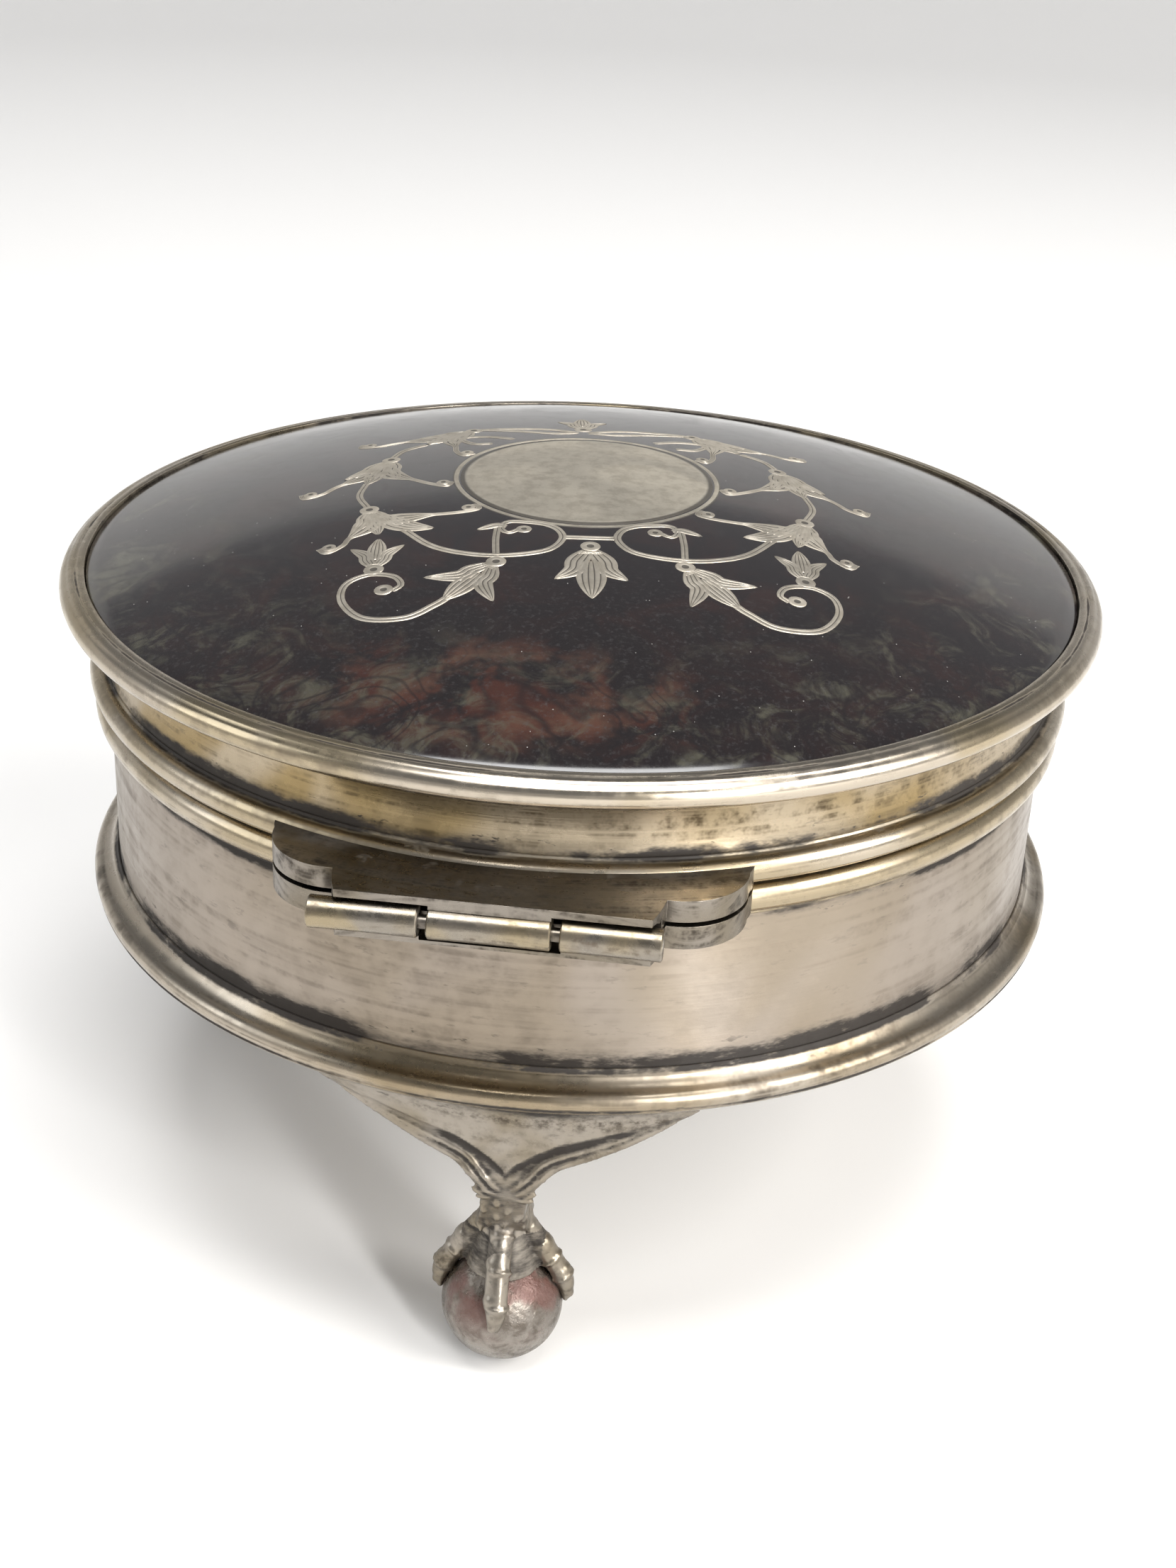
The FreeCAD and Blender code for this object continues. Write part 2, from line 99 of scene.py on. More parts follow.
@dataclass(frozen=True)
class Measures:
    """Sizes read from the frame, in millimetres."""

    band_r: float
    base_z: float
    floor_z: float
    rim_z: float
    lid_z: float
    bezel_z: float
    bezel_top_z: float
    bezel_r: float
    panel_r: float
    ledge_z: float
    panel_top_z: float
    inner_r: float
    pivot_y: float
    pivot_z: float
    barrel_r: float
    ball_r: float
    ball_centre_r: float

    @classmethod
    def from_frame(cls) -> "Measures":
        """Measures the nodes that the new pieces stand for.

        Returns:
            The sizes.
        """
        low, high = {}, {}
        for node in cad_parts:
            low[node], high[node] = box_mm(node)
        barrel_low, barrel_high = low["body_knuckle_left"], high["body_knuckle_left"]
        return cls(
            band_r=high["body_band"].x,
            base_z=low["base_plate"].z,
            floor_z=low["body_band"].z,
            rim_z=high["body_band"].z,
            lid_z=low["lid_wall"].z,
            bezel_z=low["bezel"].z,
            bezel_top_z=high["bezel"].z,
            bezel_r=high["bezel"].x,
            panel_r=high["shell_panel"].x,
            ledge_z=low["shell_panel"].z,
            panel_top_z=high["shell_panel"].z,
            inner_r=high["body_band"].x - DRUM_WALL,
            pivot_y=(barrel_low.y + barrel_high.y) / 2,
            pivot_z=(barrel_low.z + barrel_high.z) / 2,
            barrel_r=(barrel_high.z - barrel_low.z) / 2,
            ball_r=high["ball_rear"].x,
            ball_centre_r=(low["ball_rear"].y + high["ball_rear"].y) / 2,
        )

    def dome(self, r: float) -> float:
        """Height of the shell's dome at a radius."""
        edge_z = self.bezel_top_z - PANEL_SUNK
        rise = self.panel_top_z - edge_z
        radius = (self.panel_r**2 + rise**2) / (2 * rise)
        return self.panel_top_z - radius + math.sqrt(radius**2 - min(r, self.panel_r) ** 2)


SIZE = Measures.from_frame()


# ------------------------------------------------------------------ mesh helpers
def three_point_arc(a: Vector, b: Vector, c: Vector, steps: int) -> list[Vector]:
    """Points after a along the arc from a to c by way of b, in the XZ plane.

    Args:
        a: Start.
        b: A point on the way.
        c: End.
        steps: Number of points returned, c the last.

    Returns:
        The points.
    """
    ax, ay, bx, by, cx, cy = a.x, a.z, b.x, b.z, c.x, c.z
    d = 2 * (ax * (by - cy) + bx * (cy - ay) + cx * (ay - by))
    ux = ((ax**2 + ay**2) * (by - cy) + (bx**2 + by**2) * (cy - ay) + (cx**2 + cy**2) * (ay - by)) / d
    uy = ((ax**2 + ay**2) * (cx - bx) + (bx**2 + by**2) * (ax - cx) + (cx**2 + cy**2) * (bx - ax)) / d
    centre = Vector((ux, 0, uy))
    radius = (a - centre).length
    start = math.atan2(a.z - uy, a.x - ux)
    sweep = math.atan2(c.z - uy, c.x - ux) - start
    middle = math.atan2(b.z - uy, b.x - ux) - start
    sweep %= 2 * math.pi
    if middle % (2 * math.pi) > sweep:
        sweep -= 2 * math.pi
    points = []
    for number in range(1, steps + 1):
        angle = start + sweep * number / steps
        points.append(centre + radius * Vector((math.cos(angle), 0, math.sin(angle))))
    return points


class Section:
    """Outline of a turned piece: radius against height, drawn with lines and arcs."""

    def __init__(self, r: float, z: float) -> None:
        """Starts the outline at a radius and a height."""
        self.points = [Vector((r, 0, z))]

    def line(self, r: float, z: float) -> "Section":
        """Goes straight to a point."""
        self.points.append(Vector((r, 0, z)))
        return self

    def arc(self, through: Point, end: Point, steps: int = 10) -> "Section":
        """Goes round an arc to a point.

        Args:
            through: Radius and height of a point on the arc.
            end: Radius and height of its end.
            steps: How finely it is divided.

        Returns:
            The section, for the next call.
        """
        middle = Vector((through[0], 0, through[1]))
        self.points += three_point_arc(self.points[-1], middle, Vector((end[0], 0, end[1])), steps)
        return self


def smooth_path(points: Sequence[Vector], spacing: float) -> list[Vector]:
    """Evenly spaced points along a smooth curve through some given ones.

    Args:
        points: Points that the curve passes through.
        spacing: Distance between the points returned.

    Returns:
        The points, from the first given one to the last.
    """
    ends = [2 * points[0] - points[1], *points, 2 * points[-1] - points[-2]]
    dense = [points[0].copy()]
    for p0, p1, p2, p3 in zip(ends, ends[1:], ends[2:], ends[3:]):
        for step in range(1, 13):
            t = step / 12
            dense.append(
                0.5 * (2 * p1 + (p2 - p0) * t + (2 * p0 - 5 * p1 + 4 * p2 - p3) * t**2
                       + (3 * p1 - p0 - 3 * p2 + p3) * t**3)
            )
    lengths = [0.0]
    for a, b in zip(dense, dense[1:]):
        lengths.append(lengths[-1] + (b - a).length)
    count = max(2, round(lengths[-1] / spacing))
    result, at = [], 0
    for number in range(count + 1):
        goal = lengths[-1] * number / count
        while at < len(dense) - 2 and lengths[at + 1] < goal:
            at += 1
        span = lengths[at + 1] - lengths[at]
        result.append(dense[at].lerp(dense[at + 1], (goal - lengths[at]) / span if span else 0))
    return result


def spun(section: Section, closed: bool = True, axis: str = "z", centre: Vector = Vector()) -> BMesh:
    """Turns an outline into a solid.

    Args:
        section: The outline; with axis x its heights are places along the axis.
        closed: Whether the last point joins the first; not where both are on the axis.
        axis: z for a piece of the box, x for a piece of the hinge barrel.
        centre: A point of the axis.

    Returns:
        The mesh, in millimetres.
    """
    bm = bmesh.new()
    verts = [bm.verts.new(point) for point in section.points]
    pairs = list(zip(verts, verts[1:]))
    if closed:
        pairs.append((verts[-1], verts[0]))
    edges = [bm.edges.new(pair) for pair in pairs]
    steps = TURNS if axis == "z" else BARREL_TURNS
    bmesh.ops.spin(bm, geom=verts + edges, cent=(0, 0, 0), axis=(0, 0, 1), angle=2 * math.pi,
                   steps=steps, use_merge=True)
    bmesh.ops.remove_doubles(bm, verts=bm.verts, dist=1e-4)
    if axis == "x":
        bmesh.ops.rotate(bm, verts=bm.verts, cent=(0, 0, 0), matrix=Matrix.Rotation(math.pi / 2, 3, "Y"))
    bmesh.ops.translate(bm, verts=bm.verts, vec=centre)
    bmesh.ops.recalc_face_normals(bm, faces=bm.faces)
    return bm


def grime_and_shade_layer(bm: BMesh) -> bmesh.types.BMLayerItem:
    """The layer that says how much dirt a point holds, and on the legs the painted shadow under the foot ring."""
    return bm.verts.layers.float.get("grime_and_shade") or bm.verts.layers.float.new("grime_and_shade")


def soil_creases(bm: BMesh, creases: Sequence[Crease]) -> None:
    """Puts dirt near given circles of a turned piece.

    Args:
        bm: The mesh.
        creases: Radius, height and reach of each circle.
    """
    layer = grime_and_shade_layer(bm)
    for vert in bm.verts:
        r = math.hypot(vert.co.x, vert.co.y)
        total = sum(math.exp(-(((r - cr) ** 2 + (vert.co.z - cz) ** 2) / reach**2)) for cr, cz, reach in creases)
        vert[layer] = min(1.0, total)


def soil_hollows(bm: BMesh, gain: float, blur: int) -> None:
    """Puts dirt where a finely divided mesh is hollow.

    Args:
        bm: The mesh.
        gain: How quickly a hollow fills with dirt.
        blur: Number of times that the result is spread to the neighbours.
    """
    layer = grime_and_shade_layer(bm)
    bm.normal_update()
    values = {}
    for vert in bm.verts:
        others = [edge.other_vert(vert) for edge in vert.link_edges]
        middle = sum((other.co for other in others), Vector()) / len(others)
        reach = sum((other.co - vert.co).length for other in others) / len(others)
        values[vert] = max(0.0, min(1.0, 0.25 + gain * (middle - vert.co).dot(vert.normal) / reach))
    for _ in range(blur):
        values = {
            vert: (value + sum(values[edge.other_vert(vert)] for edge in vert.link_edges))
            / (1 + len(vert.link_edges))
            for vert, value in values.items()
        }
    for vert, value in values.items():
        vert[layer] = value


def age(bm: BMesh, depth: float = 0.045) -> None:
    """Dents a turned piece very slightly inwards, the same way at the same place on every piece."""
    for vert in bm.verts:
        r = math.hypot(vert.co.x, vert.co.y)
        if r > 1:
            dent = 0.5 + 0.5 * noise.noise(vert.co * 0.075)
            share = 1 - depth * dent / r
            vert.co.x *= share
            vert.co.y *= share


def to_object(bm: BMesh, name: str, sharp: float = 40.0) -> Object:
    """Brings a mesh to metres and makes it an object.

    Args:
        bm: The mesh, in millimetres; it is freed.
        name: The object's name.
        sharp: Edges that turn by more than this, in degrees, stay crisp.

    Returns:
        The object, linked to the scene.
    """
    bm.transform(Matrix.Scale(MM, 4))
    limit = math.radians(sharp)
    for face in bm.faces:
        face.smooth = True
    for edge in bm.edges:
        edge.smooth = edge.calc_face_angle(0) < limit
    mesh = bpy.data.meshes.new(name)
    bm.to_mesh(mesh)
    bm.free()
    obj = bpy.data.objects.new(name, mesh)
    bpy.context.scene.collection.objects.link(obj)
    return obj


def place(obj: Object, body: Body, slot: Slot, material: Material, *nodes: str) -> None:
    """Finishes a piece: its body, material and the nodes it stands for.

    Args:
        obj: The piece.
        body: The body it rides on.
        slot: The record's slot; not used.
        material: Its finish.
        nodes: CAD nodes that it replaces.
    """
    obj.data.materials.clear()
    obj.data.materials.append(material)
    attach(obj, body.value)
    if nodes:
        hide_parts(*nodes)
    LOG.info("%s rides on %s, %d faces", obj.name, body.value, len(obj.data.polygons))


def round_edges(obj: Object, width: float, segments: int = 2, angle: float = 35.0) -> None:
    """Adds a small bevel to the crisp edges.

    Args:
        obj: The piece.
        width: Bevel width in millimetres.
        segments: Number of faces round each edge.
        angle: Edges that turn by more than this, in degrees, are rounded.
    """
    bevel = obj.modifiers.new("edges", "BEVEL")
    bevel.width = width * MM
    bevel.segments = segments
    bevel.limit_method = "ANGLE"
    bevel.angle_limit = math.radians(angle)
    bevel.use_clamp_overlap = True


def from_node(node: str) -> BMesh:
    """A merged copy of a CAD node's mesh.

    Args:
        node: The node's name.

    Returns:
        The mesh, in millimetres.
    """
    bm = bmesh.new()
    bm.from_mesh(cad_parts[node].data)
    bm.transform(Matrix.Scale(1 / MM, 4))
    bmesh.ops.remove_doubles(bm, verts=bm.verts, dist=2e-3)
    return bm


def applied(obj: Object) -> bpy.types.Mesh:
    """The object's mesh with its modifiers applied."""
    graph = bpy.context.evaluated_depsgraph_get()
    mesh = bpy.data.meshes.new_from_object(obj.evaluated_get(graph), depsgraph=graph)
    obj.modifiers.clear()
    return mesh


def skinned(obj: Object, voxel: float) -> bpy.types.Mesh:
    """The object's mesh made into one skin, its voxels of the given size in the object's own units."""
    remesh = obj.modifiers.new("skin", "REMESH")
    remesh.mode = "VOXEL"
    remesh.voxel_size = voxel
    return applied(obj)


# ------------------------------------------------------------------ materials
class Wiring:
    """Adds nodes to one tree and joins them up."""

    def __init__(self, tree: NodeTree) -> None:
        """Works on a material's or a group's tree."""
        self.tree = tree

    def add(self, kind: str, settings: dict | None = None, **inputs: object) -> bpy.types.Node:
        """Adds a node.

        Args:
            kind: Its type, without ShaderNode.
            settings: Properties of the node.
            inputs: A value or a socket for each input, spaces written as underscores.

        Returns:
            The node.
        """
        node = self.tree.nodes.new("ShaderNode" + kind)
        for key, value in (settings or {}).items():
            setattr(node, key, value)
        for key, value in inputs.items():
            self.feed(node.inputs[key.replace("_", " ")], value)
        return node

    def feed(self, entry: Socket, value: object) -> None:
        """Gives an input a socket's output or a fixed value."""
        if isinstance(value, Socket):
            self.tree.links.new(value, entry)
        elif entry.type == "RGBA" and len(value) == 3:
            entry.default_value = (*value, 1)
        else:
            entry.default_value = value

    def math(self, operation: str, a: object, b: object = 0.0) -> Socket:
        """One step of arithmetic on two values."""
        node = self.add("Math", {"operation": operation})
        self.feed(node.inputs[0], a)
        self.feed(node.inputs[1], b)
        return node.outputs[0]

    def times(self, a: object, b: object) -> Socket:
        """The product of two values."""
        return self.math("MULTIPLY", a, b)

    def plus(self, a: object, b: object) -> Socket:
        """The sum of two values."""
        return self.math("ADD", a, b)

    def minus(self, a: object, b: object) -> Socket:
        """The first value less the second."""
        return self.math("SUBTRACT", a, b)

    def mix(self, share: object, a: object, b: object) -> Socket:
        """A colour between a and b."""
        node = self.add("Mix", {"data_type": "RGBA"})
        for index, value in ((0, share), (6, a), (7, b)):
            self.feed(node.inputs[index], value)
        return node.outputs[2]

    def fade(self, value: object, low: float, high: float, to_low: float = 0.0, to_high: float = 1.0) -> Socket:
        """A smooth change from to_low to to_high as the value goes from low to high."""
        node = self.add("MapRange", {"interpolation_type": "SMOOTHSTEP"})
        for index, number in enumerate((value, low, high, to_low, to_high)):
            self.feed(node.inputs[index], number)
        return node.outputs[0]

    def ramp(self, value: object, stops: Sequence[tuple[float, Colour]]) -> Socket:
        """A colour from a row of places and colours."""
        node = self.add("ValToRGB", Fac=value)
        points = node.color_ramp.elements
        while len(points) < len(stops):
            points.new(0.5)
        for point, (at, colour) in zip(points, stops):
            point.position = at
            point.color = (*colour, 1)
        return node.outputs[0]

    def millimetres(self, stretch: Colour = (1, 1, 1)) -> Socket:
        """Object coordinates in millimetres, times a stretch along each axis."""
        coords = self.add("TexCoord").outputs["Object"]
        scale = tuple(s / MM for s in stretch)
        return self.add("Mapping", Vector=coords, Scale=scale).outputs[0]

    def noise(self, where: Socket, scale: object, detail: float = 4.0, rough: float = 0.55,
              twist: float = 0.0) -> Socket:
        """Noise between 0 and 1."""
        return self.add("TexNoise", Vector=where, Scale=scale, Detail=detail, Roughness=rough,
                        Distortion=twist).outputs[0]


def new_group(name: str, inputs: dict[str, float], outputs: Sequence[str]) -> tuple[NodeTree, Wiring]:
    """Starts a shader node group.

    Args:
        name: Its name.
        inputs: Name and usual value of each number it takes.
        outputs: Name of each mask it gives.

    Returns:
        The group and the wiring of its tree, with the two ends as nodes named In and Out.
    """
    group = bpy.data.node_groups.new(name, "ShaderNodeTree")
    for key, value in inputs.items():
        entry = group.interface.new_socket(name=key, in_out="INPUT", socket_type="NodeSocketFloat")
        entry.default_value = value
    for key in outputs:
        group.interface.new_socket(name=key, in_out="OUTPUT", socket_type="NodeSocketFloat")
    group.nodes.new("NodeGroupInput").name = "In"
    group.nodes.new("NodeGroupOutput").name = "Out"
    return group, Wiring(group)


class Effects:
    """The shader groups that several finishes share."""

    def __init__(self) -> None:
        """Builds each group once."""
        self.turned = self.turned_scratches()
        self.soil_and_shade = self.soiling_and_shade()
        self.cloud = self.clouding()
        self.dust = self.dusting()
        self.weave = self.weaving()

    @staticmethod
    def turned_scratches() -> NodeTree:
        """Fine lines that run round the box's axis, from polishing.

        Returns:
            A group that gives a height and a broader streak mask.
        """
        group, w = new_group("turned_scratches", {"Fineness": 9.0, "Length": 0.12}, ("Height", "Streaks"))
        ends = group.nodes["In"].outputs
        point = w.add("SeparateXYZ", Vector=w.millimetres())
        x, y, z = point.outputs
        r = w.math("SQRT", w.plus(w.times(x, x), w.times(y, y)))
        along = [w.times(value, ends["Length"]) for value in (x, y)]
        across = w.times(w.plus(z, r), ends["Fineness"])
        where = w.add("CombineXYZ", X=along[0], Y=along[1], Z=across).outputs[0]
        out = group.nodes["Out"]
        w.feed(out.inputs["Height"], w.noise(where, 1.0, 1.0, 0.6))
        w.feed(out.inputs["Streaks"], w.fade(w.noise(where, 0.2, 2.0, 0.65), 0.4, 0.66))
        return group

    @staticmethod
    def soiling_and_shade() -> NodeTree:
        """Dirt in the creases, and on the legs the painted shadow under the foot ring, broken up by noise, with loose
        black spots round it.

        Returns:
            A group that gives the mask of dirt and painted shadow.
        """
        group, w = new_group("soiling_and_shade", {"Amount": 1.0, "Spots": 0.3, "Scale": 1.1}, ("Dirt",))
        ends = group.nodes["In"].outputs
        grime_and_shade = w.add("Attribute", {"attribute_name": "grime_and_shade"}).outputs["Fac"]
        where = w.millimetres((0.4, 0.4, 1.3))
        rough = w.noise(where, ends["Scale"], 3.5, 0.75)
        held = w.times(grime_and_shade, w.times(rough, 2.1))
        uneven = w.fade(w.noise(w.millimetres(), 0.075, 2.0, 0.6), 0.38, 0.62, 0.55, 1.5)
        held = w.times(held, uneven)
        crease = w.fade(w.times(held, ends["Amount"]), 0.25, 1.15)
        near = w.fade(grime_and_shade, 0.0, 0.35, 0.25, 1.0)
        specks = w.fade(rough, 0.6, 0.68)
        loose = w.times(w.times(near, specks), ends["Spots"])
        # the Dirt output also carries the painted shadow under the legs' foot ring
        w.feed(group.nodes["Out"].inputs["Dirt"], w.math("MAXIMUM", crease, loose))
        return group

    @staticmethod
    def clouding() -> NodeTree:
        """Soft patches of different sizes.

        Returns:
            A group that gives a broad mask and a finer one.
        """
        group, w = new_group("clouding", {"Scale": 0.06}, ("Broad", "Fine"))
        scale = group.nodes["In"].outputs["Scale"]
        where = w.millimetres()
        out = group.nodes["Out"]
        w.feed(out.inputs["Broad"], w.fade(w.noise(where, scale, 1.5, 0.5, 0.6), 0.4, 0.62))
        finer = w.noise(where, w.times(scale, 7.0), 3.0, 0.7)
        w.feed(out.inputs["Fine"], w.fade(finer, 0.38, 0.68))
        return group

    @staticmethod
    def dusting() -> NodeTree:
        """Specks of dust.

        Returns:
            A group that gives the dust mask.
        """
        group, w = new_group("dusting", {"Scale": 1.6, "Size": 0.045}, ("Dust",))
        ends = group.nodes["In"].outputs
        where = w.millimetres()
        spots = w.add("TexVoronoi", Vector=where, Scale=ends["Scale"], Randomness=1.0)
        dots = w.math("LESS_THAN", spots.outputs["Distance"], ends["Size"])
        kept = w.math("GREATER_THAN", w.noise(where, 0.5, 2.0), 0.52)
        w.feed(group.nodes["Out"].inputs["Dust"], w.times(dots, kept))
        return group

    @staticmethod
    def weaving() -> NodeTree:
        """A plain weave seen from above.

        Returns:
            A group that gives the thread height.
        """
        group, w = new_group("weaving", {"Threads": 3.2}, ("Height",))
        threads = group.nodes["In"].outputs["Threads"]
        x, y, _ = w.add("SeparateXYZ", Vector=w.millimetres()).outputs
        waves = []
        for value in (x, y):
            turn = w.times(w.times(value, threads), 2 * math.pi)
            waves.append(w.math("SINE", turn))
        w.feed(group.nodes["Out"].inputs["Height"], w.plus(0.5, w.times(*waves)))
        return group


class Finish:
    """A material in the making: its tree, its shader and the shared effects."""

    def __init__(self, name: str, effects: Effects) -> None:
        """Starts a material with one Principled BSDF."""
        self.material = bpy.data.materials.new(name)
        self.material.use_nodes = True
        tree = self.material.node_tree
        self.shader = tree.nodes["Principled BSDF"]
        self.wiring = Wiring(tree)
        self.effects = effects

    def effect(self, group: NodeTree, **values: object) -> bpy.types.Node:
        """Places a shared group with its own values."""
        node = self.wiring.tree.nodes.new("ShaderNodeGroup")
        node.node_tree = group
        for key, value in values.items():
            self.wiring.feed(node.inputs[key], value)
        return node

    def set(self, **inputs: object) -> None:
        """Feeds sockets of the shader, spaces written as underscores."""
        for key, value in inputs.items():
            self.wiring.feed(self.shader.inputs[key.replace("_", " ")], value)

    def relief(self, height: Socket, depth: float, strength: float = 1.0) -> Socket:
        """A bumped normal from a height, its full depth given in millimetres."""
        return self.wiring.add("Bump", Height=height, Distance=depth * MM, Strength=strength).outputs[0]


class Recipe:
    """What every finish does: it starts a material and wires it up."""

    def build(self, effects: Effects) -> Material:
        """Makes the material.

        Args:
            effects: The shared groups.

        Returns:
            The material.
        """
        finish = Finish(self.name, effects)
        self.paint(finish, finish.wiring, effects)
        return finish.material


@dataclass(frozen=True)
class SilverFinish(Recipe):
    """Old silver: bare metal, thin yellow tarnish, brown film and black dirt; on the legs the black also paints the
    shadow under the foot ring.
    """

    name: str
    metal: Colour = (0.5, 0.445, 0.38)
    tarnish: Colour = (0.34, 0.27, 0.15)
    film: Colour = (0.13, 0.105, 0.08)
    dirt: Colour = (0.022, 0.017, 0.013)
    tarnished: float = 0.6
    filmed: float = 0.6
    dirty: float = 1.0
    spotted: float = 0.3
    dullness: float = 0.24
    fineness: float = 9.0
    scratch_depth: float = 0.0035
    pits: float = 0.0
    cloud_scale: float = 0.06
    brushed: float = 0.0

    def paint(self, finish: Finish, w: Wiring, effects: Effects) -> None:
        """Wires up the material."""
        cloud = finish.effect(effects.cloud, Scale=self.cloud_scale)
        streaks = finish.effect(effects.turned, Fineness=self.fineness)
        # dirt mask: dirt in the creases, and on the legs the painted shadow under the foot ring
        dirt = finish.effect(effects.soil_and_shade, Amount=self.dirty, Spots=self.spotted).outputs["Dirt"]
        yellow = w.times(cloud.outputs["Broad"], self.tarnished)
        brown = w.times(w.times(cloud.outputs["Fine"], streaks.outputs["Streaks"]), self.filmed)
        colour = w.mix(yellow, self.metal, self.tarnish)
        colour = w.mix(brown, colour, self.film)
        # dark dirt colour, which also paints that shadow under the foot ring
        colour = w.mix(dirt, colour, self.dirt)
        rough = w.plus(self.dullness, w.times(cloud.outputs["Fine"], 0.1))
        rough = w.plus(rough, w.times(streaks.outputs["Streaks"], 0.08))
        rough = w.plus(rough, w.times(dirt, 0.35))
        height = streaks.outputs["Height"]
        if self.pits:
            pitted = w.noise(w.millimetres(), 2.5, 2.0, 0.7)
            height = w.plus(height, w.times(pitted, self.pits / self.scratch_depth))
        metallic = w.minus(1.0, w.times(dirt, 0.75))
        finish.set(Base_Color=colour, Roughness=rough, Metallic=metallic, Anisotropic=self.brushed,
                   Anisotropic_Rotation=0.25, Normal=finish.relief(height, self.scratch_depth))


@dataclass(frozen=True)
class ShellFinish(Recipe):
    """Polished dark tortoiseshell with red, amber and olive clouds."""

    name: str = "shell_polished"
    dark: Colour = (0.0085, 0.0065, 0.0068)
    wine: Colour = (0.036, 0.0125, 0.0085)
    amber: Colour = (0.066, 0.031, 0.02)
    olive: Colour = (0.06, 0.057, 0.04)
    smoke: Colour = (0.05, 0.048, 0.048)
    amber_at: Point = (2.0, 33.0)

    def paint(self, finish: Finish, w: Wiring, effects: Effects) -> None:
        """Wires up the material."""
        where = w.millimetres()
        x, y, _ = w.add("SeparateXYZ", Vector=where).outputs
        r = w.math("SQRT", w.plus(w.times(x, x), w.times(y, y)))
        across = w.math("DIVIDE", w.minus(x, self.amber_at[0]), 19.0)
        down = w.math("DIVIDE", w.minus(y, self.amber_at[1]), 7.0)
        spread = w.plus(w.times(across, across), w.times(down, down))
        heart = w.fade(spread, 0.05, 1.0, 1.0, 0.0)
        clumps = w.noise(where, 0.16, 3.0, 0.65, 0.9)
        red = w.times(heart, w.fade(clumps, 0.42, 0.6))
        glow = w.times(heart, w.fade(w.noise(where, 0.26, 3.0, 0.62), 0.46, 0.72))
        rim = w.fade(r, 24.0, 38.0)
        mist = w.noise(where, 0.22, 4.0, 0.7, 1.2)
        haze = w.times(rim, w.fade(mist, 0.47, 0.72))
        faint = w.times(w.fade(clumps, 0.4, 0.75), 0.25)
        bands = w.math("FRACT", w.times(w.noise(where, 0.1, 2.0, 0.45, 0.7), 13.0))
        lines = w.times(w.fade(w.math("ABSOLUTE", w.minus(bands, 0.5)), 0.0, 0.2, 1.0, 0.0), rim)
        colour = w.mix(faint, self.dark, self.wine)
        colour = w.mix(w.times(red, 0.85), colour, self.wine)
        colour = w.mix(w.times(glow, 0.7), colour, self.amber)
        colour = w.mix(w.times(haze, 0.75), colour, self.olive)
        speckle = w.times(w.fade(w.noise(where, 2.4, 2.0, 0.75), 0.5, 0.8), w.fade(y, 8.0, 30.0))
        colour = w.mix(w.times(speckle, 0.45), colour, self.smoke)
        colour = w.mix(w.times(lines, 0.7), colour, self.dark)
        dust = finish.effect(effects.dust, Scale=1.1, Size=0.05).outputs["Dust"]
        colour = w.mix(w.times(dust, 0.5), colour, (0.5, 0.49, 0.46))
        rough = w.plus(0.14, w.times(w.fade(mist, 0.4, 0.7), 0.07))
        rough = w.plus(rough, w.times(dust, 0.4))
        wear = finish.effect(effects.turned, Fineness=3.0, Length=2.0).outputs["Height"]
        finish.set(Base_Color=colour, Roughness=rough, IOR=1.55, Coat_Weight=0.35, Coat_Roughness=0.12,
                   Normal=finish.relief(wear, 0.0012))


@dataclass(frozen=True)
class InlayFinish(Recipe):
    """Satin silver let into the shell, its engraved lines dark."""

    name: str
    metal: Colour = (0.58, 0.53, 0.45)
    dull: Colour = (0.38, 0.335, 0.265)
    line: Colour = (0.03, 0.026, 0.022)
    dullness: float = 0.46

    def paint(self, finish: Finish, w: Wiring, effects: Effects) -> None:
        """Wires up the material."""
        cloud = finish.effect(effects.cloud, Scale=0.12)
        grime_and_shade = w.add("Attribute", {"attribute_name": "grime_and_shade"}).outputs["Fac"]
        cut = w.fade(grime_and_shade, 0.2, 0.7)
        colour = w.mix(w.times(cloud.outputs["Fine"], 0.5), self.metal, self.dull)
        colour = w.mix(w.times(cut, 0.92), colour, self.line)
        rough = w.plus(self.dullness, w.times(cloud.outputs["Broad"], 0.1))
        grain = w.noise(w.millimetres(), 5.0, 4.0, 0.7)
        finish.set(Base_Color=colour, Roughness=rough, Metallic=w.minus(1.0, w.times(cut, 0.6)),
                   Normal=finish.relief(grain, 0.006))


@dataclass(frozen=True)
class BallFinish(Recipe):
    """Worn silver ball with brown and reddish stains."""

    name: str = "ball_silver"
    metal: Colour = (0.31, 0.285, 0.255)
    brown: Colour = (0.085, 0.068, 0.053)
    red: Colour = (0.1, 0.036, 0.027)

    def paint(self, finish: Finish, w: Wiring, effects: Effects) -> None:
        """Wires up the material."""
        where = w.millimetres()
        cloud = finish.effect(effects.cloud, Scale=0.22)
        _, _, z = w.add("SeparateXYZ", Vector=where).outputs
        high = w.fade(z, 3.0, 7.6)
        stain = w.times(high, w.fade(w.noise(where, 0.32, 3.0, 0.5), 0.46, 0.6))
        mottle = w.fade(w.noise(where, 0.7, 5.0, 0.65, 0.4), 0.4, 0.66)
        colour = w.mix(w.times(mottle, 0.7), self.metal, self.brown)
        colour = w.mix(w.times(high, 0.55), colour, self.brown)
        colour = w.mix(w.times(stain, 0.8), colour, self.red)
        rough = w.plus(0.27, w.times(cloud.outputs["Fine"], 0.2))
        dull = w.minus(1.0, w.times(stain, 0.7))
        finish.set(Base_Color=colour, Roughness=rough, Metallic=dull,
                   Normal=finish.relief(w.noise(where, 1.8, 5.0, 0.6), 0.09))


